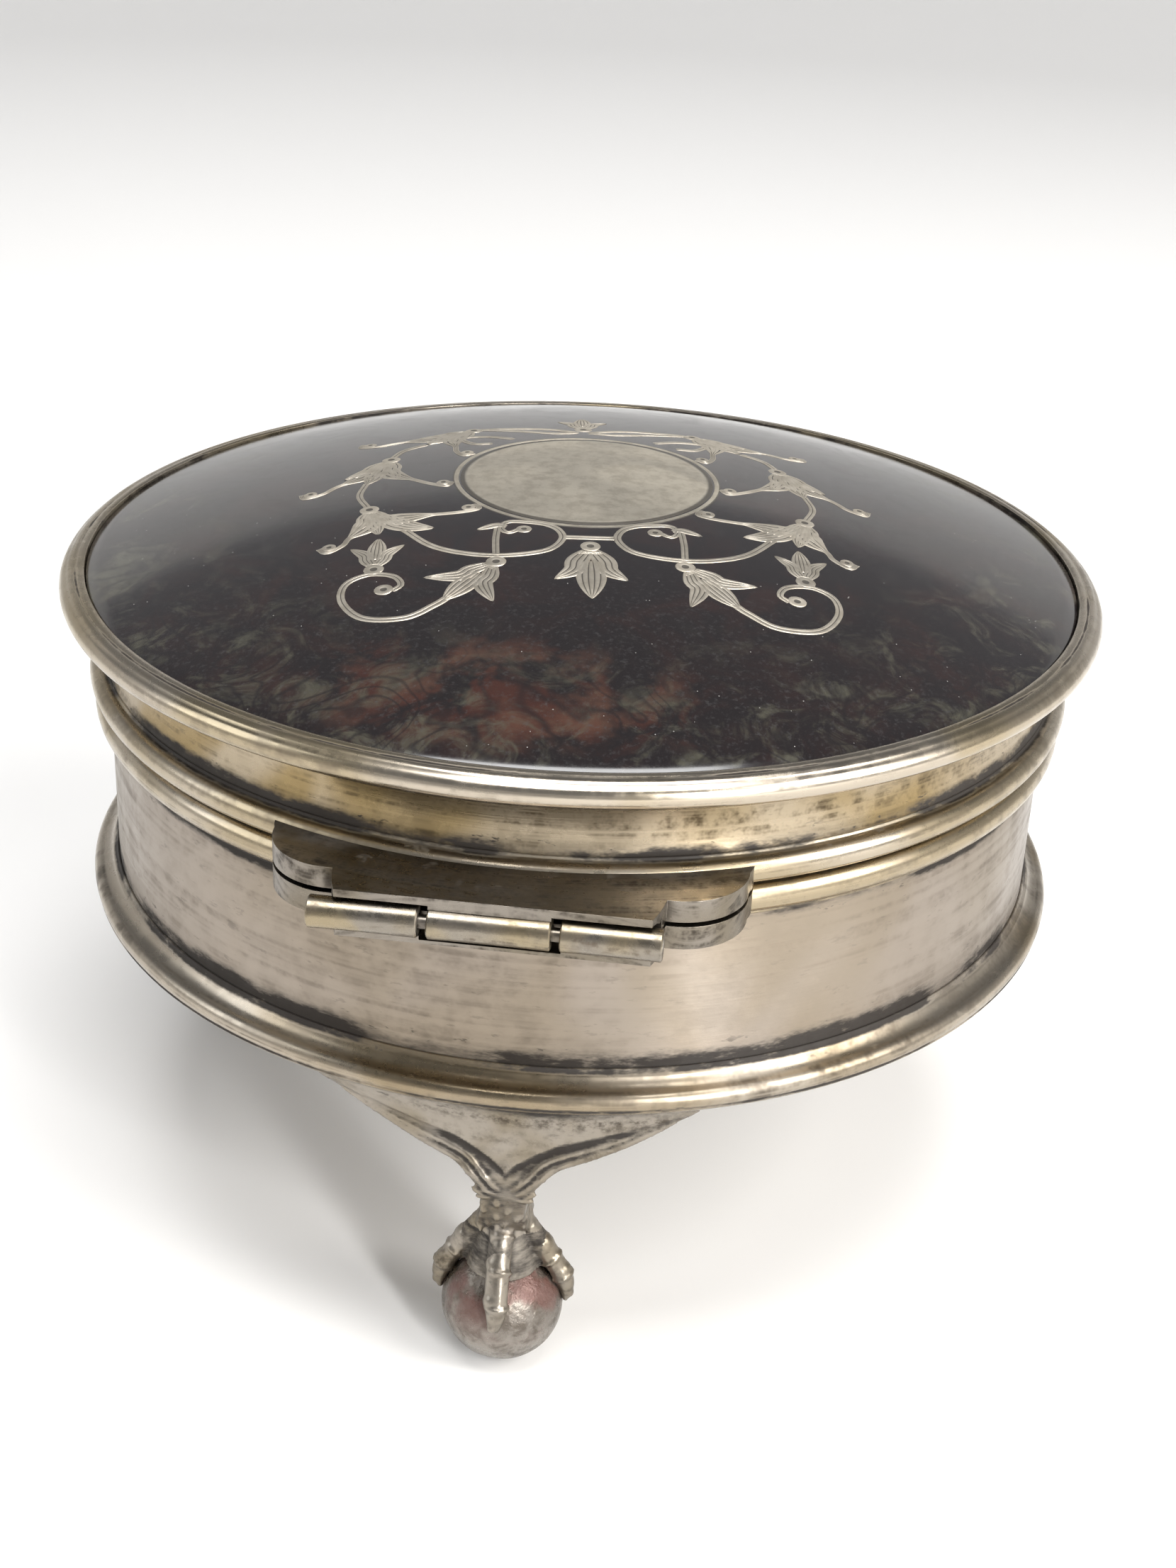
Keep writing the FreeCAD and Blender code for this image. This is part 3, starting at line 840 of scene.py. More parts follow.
@dataclass(frozen=True)
class ClothFinish(Recipe):
    """Velvet or silk for the lining."""

    name: str
    colour: Colour
    worn: Colour
    threads: float
    thread_depth: float
    sheen: float
    dullness: float
    pile: float = 0.0

    def paint(self, finish: Finish, w: Wiring, effects: Effects) -> None:
        """Wires up the material."""
        cloud = finish.effect(effects.cloud, Scale=0.09)
        weave = finish.effect(effects.weave, Threads=self.threads).outputs["Height"]
        dust = finish.effect(effects.dust, Scale=0.9, Size=0.06).outputs["Dust"]
        fuzz = w.noise(w.millimetres(), 6.0, 4.0, 0.8)
        crushed = w.plus(w.times(cloud.outputs["Broad"], 0.45),
                         w.times(cloud.outputs["Fine"], 0.35))
        colour = w.mix(crushed, self.colour, self.worn)
        colour = w.mix(w.times(dust, 0.4), colour, (0.5, 0.48, 0.45))
        height = w.plus(w.times(weave, 1 - self.pile), w.times(fuzz, 0.4 + self.pile))
        finish.set(Base_Color=colour, Roughness=self.dullness, Sheen_Weight=self.sheen, Sheen_Roughness=0.35,
                   Sheen_Tint=self.worn, Normal=finish.relief(height, self.thread_depth))


@dataclass(frozen=True)
class CardFinish(Recipe):
    """Brown pasteboard."""

    name: str = "card_board"
    colour: Colour = (0.36, 0.27, 0.18)
    fibre: Colour = (0.22, 0.16, 0.1)

    def paint(self, finish: Finish, w: Wiring, effects: Effects) -> None:
        """Wires up the material."""
        fibres = w.noise(w.millimetres((1, 1, 3)), 1.4, 6.0, 0.75, 0.5)
        colour = w.mix(w.fade(fibres, 0.35, 0.7), self.colour, self.fibre)
        cloud = finish.effect(effects.cloud, Scale=0.05).outputs["Broad"]
        colour = w.mix(w.times(cloud, 0.4), colour, self.fibre)
        finish.set(Base_Color=colour, Roughness=0.9, Normal=finish.relief(fibres, 0.05))


class Palette:
    """Every material of the box."""

    def __init__(self) -> None:
        """Builds the materials."""
        effects = Effects()
        self.moulding = SilverFinish("silver_moulding", dullness=0.2, metal=(0.44, 0.385, 0.305),
                                     tarnish=(0.3, 0.235, 0.13), film=(0.1, 0.08, 0.058), spotted=0.6).build(effects)
        self.base = SilverFinish("silver_base_ring", dullness=0.24, metal=(0.37, 0.325, 0.265), filmed=0.85,
                                 tarnish=(0.24, 0.185, 0.11), film=(0.07, 0.056, 0.042), tarnished=0.8,
                                 spotted=0.8).build(effects)
        self.band = SilverFinish("silver_band", dullness=0.3, metal=(0.315, 0.272, 0.228), scratch_depth=0.006,
                                 film=(0.15, 0.122, 0.094), fineness=6.0, tarnished=0.5, filmed=0.42, spotted=0.7,
                                 dirty=1.25, tarnish=(0.235, 0.19, 0.13), brushed=0.8).build(effects)
        self.cove = SilverFinish("silver_cove", dullness=0.24, metal=(0.36, 0.3, 0.215), filmed=0.95,
                                 tarnish=(0.26, 0.19, 0.09), film=(0.075, 0.055, 0.032), tarnished=0.95, spotted=1.0,
                                 scratch_depth=0.005, cloud_scale=0.09).build(effects)
        self.bezel = SilverFinish("silver_bezel", dullness=0.18, metal=(0.46, 0.405, 0.33), tarnished=0.6,
                                  filmed=0.5, spotted=0.3).build(effects)
        self.hinge = SilverFinish("silver_hinge", dullness=0.26, metal=(0.24, 0.215, 0.185),
                                  tarnish=(0.14, 0.115, 0.075), film=(0.045, 0.037, 0.029), filmed=0.9,
                                  pits=0.004, cloud_scale=0.12).build(effects)
        self.lip = SilverFinish("silver_knuckle", dullness=0.24, metal=(0.25, 0.225, 0.19), filmed=0.85,
                                cloud_scale=0.2, pits=0.004).build(effects)
        self.cast = SilverFinish("silver_cast", dullness=0.3, metal=(0.29, 0.26, 0.22), film=(0.06, 0.048, 0.037),
                                 tarnish=(0.18, 0.145, 0.09), filmed=0.9, dirty=1.5, spotted=0.6, fineness=2.0,
                                 pits=0.012, cloud_scale=0.15).build(effects)
        self.plain = SilverFinish("silver_plain", dullness=0.34, filmed=0.4, pits=0.006).build(effects)
        self.ball = BallFinish().build(effects)
        self.shell = ShellFinish().build(effects)
        self.disc = InlayFinish("inlay_disc", metal=(0.6, 0.55, 0.46), dullness=0.46).build(effects)
        self.wire = InlayFinish("inlay_wire").build(effects)
        self.velvet = ClothFinish("velvet", (0.13, 0.012, 0.026), (0.27, 0.045, 0.07), 2.0, 0.12, 0.9, 0.85,
                                  pile=0.9).build(effects)
        self.silk = ClothFinish("silk", (0.5, 0.42, 0.31), (0.66, 0.58, 0.45), 4.5, 0.03, 0.35, 0.42).build(effects)
        self.card = CardFinish().build(effects)


# ------------------------------------------------------------------ turned silver
@dataclass
class TurnedPart:
    """A ring or plate of the box, turned from one section."""

    name: str
    body: Body
    section: Section
    material: Material
    creases: Sequence[Crease] = ()
    closed: bool = True
    slot: Slot = Slot.SILVER
    edge: float = 0.06

    def build(self) -> Object:
        """Turns, soils and places the piece; it replaces the node of its name.

        Returns:
            The piece.
        """
        bm = spun(self.section, self.closed)
        soil_creases(bm, self.creases)
        age(bm)
        obj = to_object(bm, self.name + "_turned")
        round_edges(obj, self.edge)
        place(obj, self.body, self.slot, self.material, self.name)
        return obj


@dataclass
class Drum:
    """The body: base plate and ring, band, rim and seating collar."""

    palette: Palette
    nose_out: float = 2.2
    base_ring_height: float = 3.0
    rim_out: float = 1.2
    rim_height: float = 2.6
    collar_gap: float = 0.4
    collar_thick: float = 0.75
    collar_rise: float = 1.5
    collar_drop: float = 5.0

    def base_plate(self) -> TurnedPart:
        """Floor of the box, with a shallow turned step underneath."""
        low, top, r = SIZE.base_z, SIZE.floor_z, SIZE.band_r
        section = Section(0, low + 0.12).line(12, low + 0.12).line(12.4, low).line(r - 2.2, low)
        section.line(r, low + 0.02).line(r, top).line(0, top)
        creases = [(12.2, low, 0.8), (r, low, 1.5)]
        return TurnedPart("base_plate", Body.BASE, section, self.palette.plain, creases, closed=False)

    def base_ring(self) -> TurnedPart:
        """Heavy ring at the foot: half round below, hollow and fillet above."""
        r, low = SIZE.band_r, SIZE.base_z
        nose, top = r + self.nose_out, low + self.base_ring_height
        section = Section(r, low).line(nose - 1.0, low).arc((nose - 0.42, low + 0.1), (nose - 0.14, low + 0.42), 6)
        section.line(nose - 0.2, low + 0.5)
        section.arc((nose - 0.06, low + 1.05), (nose - 0.62, low + 1.78), 14)
        section.arc((r + 0.98, low + 2.05), (r + 0.5, top - 0.42), 10)
        section.line(r + 0.3, top - 0.3).line(r + 0.16, top).line(r, top)
        creases = [(nose - 0.2, low + 0.48, 0.16), (r + 0.1, top, 0.32), (r + 0.3, top - 0.3, 0.2), (r + 1, low, 0.5)]
        return TurnedPart("base_moulding", Body.BASE, section, self.palette.base, creases)

    def band(self) -> TurnedPart:
        """Plain side of the box."""
        r, low, top = SIZE.band_r, SIZE.floor_z, SIZE.rim_z
        section = Section(SIZE.inner_r, low).line(r, low)
        steps = 24
        for number in range(1, steps + 1):
            section.line(r, low + (top - low) * number / steps)
        section.line(SIZE.inner_r, top)
        ring_top = SIZE.base_z + self.base_ring_height
        creases = [(r, ring_top, 1.25), (r, top - self.rim_height, 0.7)]
        return TurnedPart("body_band", Body.BASE, section, self.palette.band, creases)

    def rim(self) -> TurnedPart:
        """Half-round ring at the mouth, with a fine groove under it."""
        r, top = SIZE.band_r, SIZE.rim_z
        low = top - self.rim_height
        section = Section(r, low).line(r + 0.22, low).line(r + 0.26, low + 0.18).line(r + 0.2, low + 0.3)
        section.arc((r + self.rim_out, (low + 0.3 + top) / 2), (r + 0.2, top), 18).line(r, top)
        creases = [(r + 0.15, low + 0.25, 0.3), (r, low, 0.3), (r + 0.1, top, 0.35)]
        return TurnedPart("rim_moulding", Body.BASE, section, self.palette.moulding, creases)

    def collar(self) -> TurnedPart:
        """Thin collar inside the mouth that the lid closes round."""
        top = SIZE.rim_z + self.collar_rise
        foot = SIZE.rim_z - self.collar_drop
        step = SIZE.rim_z - 0.1
        outer = SIZE.inner_r - self.collar_gap
        inner = outer - self.collar_thick
        section = Section(inner, foot).line(SIZE.inner_r, foot).line(SIZE.inner_r, step).line(outer, step)
        section.line(outer, top - 0.35).arc((outer - 0.1, top - 0.1), (outer - 0.35, top), 5).line(inner, top)
        creases = [(outer, step, 0.5), (inner, foot, 0.6)]
        return TurnedPart("seating_collar", Body.BASE, section, self.palette.plain, creases)

    def build(self) -> None:
        """Builds every piece of the body."""
        for part in (self.base_plate(), self.base_ring(), self.band(), self.rim(), self.collar()):
            part.build()


@dataclass
class LidShell:
    """The lid's silver and its domed panel."""

    palette: Palette
    ring_out: float = 1.5
    ring_height: float = 2.25
    least_wall: float = 0.8

    def wall(self) -> TurnedPart:
        """Hollow side of the lid."""
        r, low, top = SIZE.band_r, SIZE.lid_z, SIZE.bezel_z
        crease = low + self.ring_height
        middle = crease + (top - crease) / 2
        section = Section(SIZE.inner_r, low).line(r, low).line(r, crease).line(r + 0.2, crease)
        section.line(r + 0.22, crease + 0.2)
        section.arc((SIZE.inner_r + self.least_wall + 0.02, middle + 0.05), (r + 0.3, top), 22)
        section.line(SIZE.inner_r, top)
        creases = [(r + 0.2, crease + 0.1, 0.75), (r + 0.2, top, 0.8)]
        return TurnedPart("lid_wall", Body.LID, section, self.palette.cove, creases)

    def ring(self) -> TurnedPart:
        """Half-round ring at the lid's foot."""
        r, low = SIZE.band_r, SIZE.lid_z
        top = low + self.ring_height
        section = Section(r, low).line(r + 0.2, low)
        section.arc((r + self.ring_out, (low + top) / 2 - 0.1), (r + 0.34, top - 0.22), 18)
        section.line(r + 0.22, top).line(r, top)
        creases = [(r + 0.3, top, 0.42), (r + 0.2, low, 0.3)]
        return TurnedPart("lid_moulding", Body.LID, section, self.palette.moulding, creases)

    def bezel(self) -> TurnedPart:
        """Wide ring that holds the panel, with a thin burnished edge against it."""
        low, top, outer = SIZE.bezel_z, SIZE.bezel_top_z, SIZE.bezel_r
        seat = SIZE.panel_r + 0.05
        section = Section(SIZE.inner_r, low).line(SIZE.band_r + 0.5, low).line(outer - 0.7, low + 0.15)
        section.arc((outer, low + 0.95), (outer - 0.55, low + 1.95), 16)
        section.arc((outer - 1.0, top - 0.12), (outer - 1.3, top - 0.12), 6)
        section.arc((seat + 0.3, top), (seat + 0.05, top - 0.06), 6)
        section.line(seat, SIZE.ledge_z).line(SIZE.inner_r, SIZE.ledge_z)
        creases = [(outer - 1.3, top - 0.13, 0.14), (seat, top - 0.1, 0.12), (SIZE.band_r + 0.5, low, 0.7)]
        return TurnedPart("bezel", Body.LID, section, self.palette.bezel, creases, edge=0.03)

    def panel(self) -> TurnedPart:
        """Domed shell, polished."""
        r, under = SIZE.panel_r, SIZE.panel_top_z - 1.5
        foot = r - 1.3
        section = Section(0, under)
        for number in range(1, 13):
            at = foot * number / 12
            section.line(at, under - (under - SIZE.ledge_z) * (at / foot) ** 2)
        section.line(r - 0.02, SIZE.ledge_z).line(r - 0.02, SIZE.dome(r) - 0.08)
        for number in range(40, -1, -1):
            at = (r - 0.1) * number / 40
            section.line(at, SIZE.dome(at) - (0.03 if number == 40 else 0))
        return TurnedPart("shell_panel", Body.LID, section, self.palette.shell, (), closed=False,
                          slot=Slot.SHELL, edge=0.02)

    def build(self) -> None:
        """Builds every piece of the lid's shell."""
        for part in (self.wall(), self.ring(), self.bezel(), self.panel()):
            part.build()


# ------------------------------------------------------------------ inlay
@dataclass(frozen=True)
class Cluster:
    """One flower of the garland, by distance from the middle and angle from the ornament's near line."""

    bead: Point
    drop: Point
    inner: Point
    outer: Point


def polar(rho: float, alpha: float) -> Vector:
    """Plan point from a distance and an angle off the near line, in degrees."""
    a = math.radians(alpha)
    return Vector((rho * math.sin(a), rho * math.cos(a), 0))


def curve(*places: Point) -> list[Vector]:
    """Plan points from distances and angles."""
    return [polar(*place) for place in places]


def ribs(count: int, cut: float = 0.09) -> list[tuple[float, float, float]]:
    """Cross-section of engraved inlay.

    Args:
        count: Number of engraved lines.
        cut: Half width of a line, as a share of half the strip.

    Returns:
        Place across from -1 to 1, height from 0 to 1 and dirt from 0 to 1 of each point.
    """
    rows = [(-1.0, 0.0, 0.4), (-0.9, 1.0, 0.0)]
    for number in range(count):
        at = -1 + 2 * (number + 1) / (count + 1)
        rows += [(at - cut, 1.0, 0.1), (at - cut * 0.45, 0.1, 1.0), (at + cut * 0.45, 0.1, 1.0), (at + cut, 1.0, 0.1)]
    return rows + [(0.9, 1.0, 0.0), (1.0, 0.0, 0.4)]


@dataclass
class Inlay:
    """Engraved silver ornament let into the dome, drawn in plan and lifted onto it."""

    palette: Palette
    disc_r: float = 10.32
    border_gap: float = 0.13
    border_width: float = 0.48
    wire_width: float = 0.56
    proud: float = 0.035
    let_in: float = 0.28
    clusters: Sequence[Cluster] = (
        Cluster((18.3, 71), (19.6, 56.2), (11.7, 54), (23.4, 58.8)),
        Cluster((17.2, 109.5), (17.9, 89), (11.7, 84), (22.4, 87.6)),
        Cluster((17.0, 146), (16.6, 126), (11.8, 123), (21.6, 122)),
    )
    bm: BMesh = field(default_factory=bmesh.new)

    def start(self) -> None:
        """Begins a new node's mesh."""
        self.bm = bmesh.new()
        grime_and_shade_layer(self.bm)
        self.bm.verts.layers.int.new("lane")

    def strip(self, points: Sequence[Vector], width: Callable[[float], float], lines: int = 1,
              spacing: float = 0.3, cut: float = 0.16) -> None:
        """Lays an engraved strip along a curve, on both sides of the ornament's middle line.

        Args:
            points: Points that it passes through.
            width: Its width from its start, 0, to its end, 1.
            lines: Number of engraved lines along it.
            spacing: Length of its steps.
            cut: Half width of an engraved line, as a share of half the strip.
        """
        path = smooth_path(points, spacing)
        rows = ribs(lines, cut)
        for side in (1, -1):
            self.lay([Vector((p.x * side, p.y, 0)) for p in path], width, rows)
            if max(abs(p.x) for p in path) < 1e-3:
                break

    def lay(self, path: Sequence[Vector], width: Callable[[float], float],
            rows: Sequence[tuple[float, float, float]]) -> None:
        """Extrudes one row of points along a path.

        Args:
            path: Evenly spaced points.
            width: Its width from its start, 0, to its end, 1.
            rows: Its cross-section.
        """
        bm = self.bm
        grime_and_shade, lane = bm.verts.layers.float["grime_and_shade"], bm.verts.layers.int["lane"]
        last = len(path) - 1
        edges: list[bmesh.types.BMEdge] = []
        for number, point in enumerate(path):
            along = (path[min(number + 1, last)] - path[max(number - 1, 0)]).normalized()
            side = Vector((-along.y, along.x, 0))
            half = width(number / last) / 2
            flat = min(1.0, half / 0.12)
            if not edges:
                verts = [bm.verts.new(point) for _ in rows]
                for index, vert in enumerate(verts):
                    vert[lane] = index
                edges = [bm.edges.new(pair) for pair in zip(verts, verts[1:])]
            else:
                made = bmesh.ops.extrude_edge_only(bm, edges=edges)["geom"]
                verts = [item for item in made if isinstance(item, bmesh.types.BMVert)]
                edges = [item for item in made if isinstance(item, bmesh.types.BMEdge)
                         and item.verts[0] in verts and item.verts[1] in verts]
            end = 0.0 if number in (0, last) else 1.0
            for vert in verts:
                across, high, dirt = rows[vert[lane]]
                vert.co = point + side * across * half + Vector((0, 0, self.proud * high * flat * end))
                vert[grime_and_shade] = dirt

    def bead(self, at: Vector, r: float) -> None:
        """Round bead with a dark pit, on both sides of the middle line."""
        grime_and_shade = self.bm.verts.layers.float["grime_and_shade"]
        for side in (1, -1):
            spot = Matrix.Translation((at.x * side, at.y, 0))
            made = bmesh.ops.create_circle(self.bm, cap_ends=True, segments=18, radius=r, matrix=spot)
            face = made["verts"][0].link_faces[0]
            for inset, lift, dirt in ((0.12, self.proud, 0.0), (0.45, 0.02, 0.0), (0.12, -0.05, 1.0)):
                bmesh.ops.inset_individual(self.bm, faces=[face], thickness=r * inset, depth=0)
                for vert in face.verts:
                    vert.co.z += lift
                    vert[grime_and_shade] = dirt
            if abs(at.x) < 1e-3:
                break

    def petal(self, points: Sequence[Vector], wide: float, lines: int = 3, root: float = 0.25) -> None:
        """Pointed petal along a curve.

        Args:
            points: Points from its root to its tip.
            wide: Greatest width.
            lines: Number of engraved lines.
            root: Width at the root, as a share of the greatest.
        """
        def width(t: float) -> float:
            swell = math.sin(math.pi * min(1.0, t * 0.86 + 0.14)) ** 0.8
            return wide * max(root * (1 - t) if t < 0.3 else 0.0, swell if t < 1 else 0.0)

        self.strip(points, width, lines, 0.24, 0.3 / (lines + 1))

    def flower(self, bead: Vector, tip: Vector, flare: float = 0.35, reach: float = 0.66) -> None:
        """Bell flower: bead, calyx, middle petal and two petals that flare at their tips.

        Args:
            bead: Centre of the bead it hangs from.
            tip: Point of the middle petal.
            flare: How far out the side tips are, as a share of the length.
            reach: How far along they are.
        """
        along = tip - bead
        across = Vector((-along.y, along.x, 0))
        size = along.length
        self.petal([bead + along * 0.3, bead + along * 0.55, bead + along * 0.8, tip], size * 0.3, 4)
        for side in (1, -1):
            tip_out = bead + along * reach + across * side * flare
            self.petal([bead + along * 0.1 + across * side * 0.03, bead + along * 0.3 + across * side * 0.13,
                        bead + along * 0.48 + across * side * 0.17, tip_out], size * 0.24, 3)
        self.bead(bead, 0.78)
        calyx = bead + along * 0.14
        self.strip([calyx - across * 0.13, calyx, calyx + across * 0.13], lambda t: 0.34, 1, 0.2)

    def tendril(self, root: Vector, drop: Vector, end: Vector, wide: float = 1.5) -> None:
        """Leaf that narrows to a wire and curls round a bead.

        Args:
            root: Bead of the flower.
            drop: Point of the flower's middle petal.
            end: Centre of the bead at the tendril's end.
            wide: Greatest width of the leaf.
        """
        out = (end - root).normalized()
        down = drop - root
        turn = Vector((-out.y, out.x, 0))
        if turn.dot(down) < 0:
            turn.negate()
        near = root + down * 0.42 + (end - root) * 0.16
        far = root + down * 0.3 + (end - root) * 0.58
        points = [root + down * 0.12, near, far, end + turn * 0.95 - out * 0.5, end + out * 0.85 + turn * 0.25,
                  end + out * 0.35 - turn * 0.7]
        wire = self.wire_width

        def width(t: float) -> float:
            leaf = math.sin(math.pi * min(1.0, t / 0.55)) ** 1.2 if t < 0.55 else 0.0
            return wire * 0.85 + (wide - wire) * leaf

        self.strip(points, width, 3, 0.26, 0.1)
        self.bead(end, 0.55)

    def scrolls(self) -> Object:
        """Wires: bars, C-scrolls, big scrolls, stems and swags.

        Returns:
            The piece.
        """
        self.start()
        wire = self.wire_width

        def steady(_: float) -> float:
            return wire

        self.strip(curve((12.75, -9.5), (12.62, 0), (12.75, 9.5)), lambda t: 0.62)
        c_scroll = [(12.3, 25.5), (13.35, 28), (12.9, 32), (11.75, 32.6), (11.1, 26), (10.95, 18), (11.6, 12),
                    (13.1, 9.4), (15.1, 12.8), (16.7, 22.1), (17.7, 31.9), (18.1, 42.2), (17.7, 55.3)]
        self.strip(curve(*c_scroll), lambda t: wire * (0.8 + 0.3 * min(1.0, 4 * t)))
        self.bead(polar(12.3, 24.4), 0.62)
        self.strip(curve((12.9, 33.4), (14.8, 29.2), (17.2, 24.6)), steady)
        self.petal(curve((12.5, 31), (12.6, 34.2), (13.2, 36), (14.2, 38.1)), 0.8, 1)
        big = [(23.8, 26.6), (24.9, 27.4), (27.2, 30), (28.55, 35.8), (27.7, 41.6), (25.9, 45.0), (24.0, 44.2),
               (23.1, 39.9), (23.7, 36.6), (24.7, 36.7)]
        self.strip(curve(*big), lambda t: wire * (1.25 - 0.3 * t))
        self.bead(polar(24.9, 38.2), 0.72)
        for top, low in (((17.9, 90), (18.3, 72.5)), ((16.6, 126), (17.3, 111))):
            bow = polar((top[0] + low[0]) / 2 + 0.4, (top[1] + low[1]) / 2)
            self.strip([polar(*top), bow, polar(*low)], steady)
        for high in (1.0, -1.0):
            swag = [(12.9, 178), (13.6 + 0.8 * high, 168), (15.3 + 0.5 * high, 156), (17.0, 147.5)]
            self.strip(curve(*swag), steady)
        self.strip(curve((12.0, 150), (14.2, 144), (15.4, 137), (13.2, 134), (11.9, 139)), steady)
        return self.finish("inlay_scrolls")

    def flowers(self) -> Object:
        """Bell flowers, clusters, leaves and calyxes.

        Returns:
            The piece.
        """
        self.start()
        self.flower(polar(14.0, 0), polar(21.7, 0), 0.36)
        self.flower(polar(14.2, 180), polar(19.4, 180), 0.42)
        self.flower(polar(17.9, 23.5), polar(24.3, 26.8), 0.5, 0.72)
        self.flower(polar(23.2, 44.7), polar(19.9, 54.6), 0.42, 0.72)
        for cluster in self.clusters:
            bead, drop, inner, outer = (polar(*p) for p in (cluster.bead, cluster.drop, cluster.inner, cluster.outer))
            self.tendril(bead, drop, outer, 2.4)
            self.tendril(bead, drop, inner, 2.1)
            self.flower(bead, drop, 0.38, 0.8)
        leaf = [(18.0, 66), (17.6, 59.5), (16.9, 54), (15.9, 48.8)]
        self.petal(curve(*leaf), 2.1, 4)
        return self.finish("inlay_flowers")

    def finish(self, node: str) -> Object:
        """Lifts the drawing onto the dome, gives it its thickness and places it.

        Args:
            node: The node that it replaces.

        Returns:
            The piece.
        """
        bm = self.bm
        bmesh.ops.remove_doubles(bm, verts=bm.verts, dist=2e-3)
        bmesh.ops.dissolve_degenerate(bm, edges=bm.edges, dist=1e-3)
        bmesh.ops.rotate(bm, verts=bm.verts, cent=(0, 0, 0), matrix=Matrix.Rotation(math.radians(INLAY_TURN), 3, "Z"))
        for vert in bm.verts:
            vert.co.z += SIZE.dome(math.hypot(vert.co.x, vert.co.y))
        bmesh.ops.recalc_face_normals(bm, faces=bm.faces)
        turned = [face for face in bm.faces if face.normal.z < 0]
        bmesh.ops.reverse_faces(bm, faces=turned)
        obj = to_object(bm, node + "_engraved", 60)
        thick = obj.modifiers.new("let_in", "SOLIDIFY")
        thick.thickness = self.let_in * MM
        thick.offset = -1
        place(obj, Body.LID, Slot.INLAY, self.palette.wire, node)
        return obj

    def cartouche(self) -> None:
        """Plain disc in the middle and the thin border round it."""
        for name, inner, outer in (("cartouche_disc", 0.0, self.disc_r),
                                   ("cartouche_border", self.disc_r + self.border_gap,
                                    self.disc_r + self.border_gap + self.border_width)):
            low = SIZE.dome(outer) - self.let_in
            section = Section(inner, low).line(outer, low).line(outer, SIZE.dome(outer))
            steps = 14 if inner == 0 else 3
            for number in range(steps + 1):
                at = outer - 0.04 + (inner - outer + (0.04 if inner == 0 else 0.08)) * number / steps
                section.line(at, SIZE.dome(at) + 0.025)
            if inner > 0:
                section.line(inner, SIZE.dome(inner))
            creases = [(outer, SIZE.dome(outer), 0.12)]
            if inner == 0:
                creases.append((outer, SIZE.dome(outer), 0.05))
            TurnedPart(name, Body.LID, section, self.palette.disc, creases, closed=inner > 0,
                       slot=Slot.INLAY, edge=0.01).build()

    def build(self) -> None:
        """Builds the whole ornament."""
        self.cartouche()
        self.scrolls()
        self.flowers()


# ------------------------------------------------------------------ hinge
@dataclass
class Hinge:
    """Two leaves with worn edges, three barrel knuckles and the pin."""

    palette: Palette
    edge_round: float = 0.16

    def leaf(self, node: str, body: Body) -> None:
        """A leaf: the frame's outline with its edges rounded by wear."""
        bm = from_node(node)
        bmesh.ops.dissolve_limit(bm, angle_limit=math.radians(2), verts=bm.verts, edges=bm.edges)
        bmesh.ops.recalc_face_normals(bm, faces=bm.faces)
        layer = grime_and_shade_layer(bm)
        for vert in bm.verts:
            vert[layer] = max(0.0, min(1.0, (SIZE.band_r + 2.2 - vert.co.y) / 2.5)) * 0.5
        obj = to_object(bm, node + "_worn", 30)
        round_edges(obj, self.edge_round, 3, 38)
        place(obj, body, Slot.HINGE, self.palette.hinge, node)

    def knuckle(self, node: str, body: Body, left_mouth: float, right_mouth: float) -> None:
        """A length of barrel, its ends a little flared and hollow.

        Args:
            node: The node that it replaces.
            body: The body it rides on.
            left_mouth: Depth of the hollow at its low end, nothing for a butt end.
            right_mouth: The same at its high end.
        """
        low, high = box_mm(node)
        r, bore = SIZE.barrel_r, 0.56
        section = Section(bore, low.x + left_mouth)
        if left_mouth:
            section.line(0.82, low.x + 0.05)
        section.line(r - 0.1, low.x).line(r, low.x + 0.1)
        length = high.x - low.x
        for number in range(1, 8):
            at = low.x + length * number / 8
            section.line(r - 0.035 * math.sin(math.pi * number / 8), at)
        section.line(r, high.x - 0.1).line(r - 0.1, high.x)
        if right_mouth:
            section.line(0.82, high.x - 0.05)
        section.line(bore, high.x - right_mouth)
        for point in section.points:
            point.z, point.x = -point.z, point.x
        bm = spun(section, True, "x", Vector((0, SIZE.pivot_y, SIZE.pivot_z)))
        for vert in bm.verts:
            vert.co.x = -vert.co.x if abs(vert.co.x + (low.x + high.x) / 2) < length else vert.co.x
        bmesh.ops.recalc_face_normals(bm, faces=bm.faces)
        layer = grime_and_shade_layer(bm)
        for vert in bm.verts:
            inside = math.hypot(vert.co.y - SIZE.pivot_y, vert.co.z - SIZE.pivot_z) < r - 0.2
            near_end = min(abs(vert.co.x - low.x), abs(vert.co.x - high.x)) < 0.06
            vert[layer] = 0.9 if inside else 0.35 if near_end else 0.1
        obj = to_object(bm, node + "_rolled", 30)
        place(obj, body, Slot.HINGE, self.palette.lip, node)

    def build(self) -> None:
        """Builds the hinge; the pin keeps its node and gets a finish."""
        self.leaf("lid_leaf", Body.LID)
        self.leaf("body_leaf", Body.BASE)
        self.knuckle("lid_knuckle", Body.LID, 0.0, 0.0)
        self.knuckle("body_knuckle_left", Body.BASE, 0.7, 0.0)
        self.knuckle("body_knuckle_right", Body.BASE, 0.0, 0.7)
        repaint("hinge_pin", self.palette.hinge)


def repaint(node: str, material: Material) -> None:
    """Gives a kept CAD node a better material."""
    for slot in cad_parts[node].material_slots:
        slot.material = material
    LOG.info("%s keeps its shape", node)


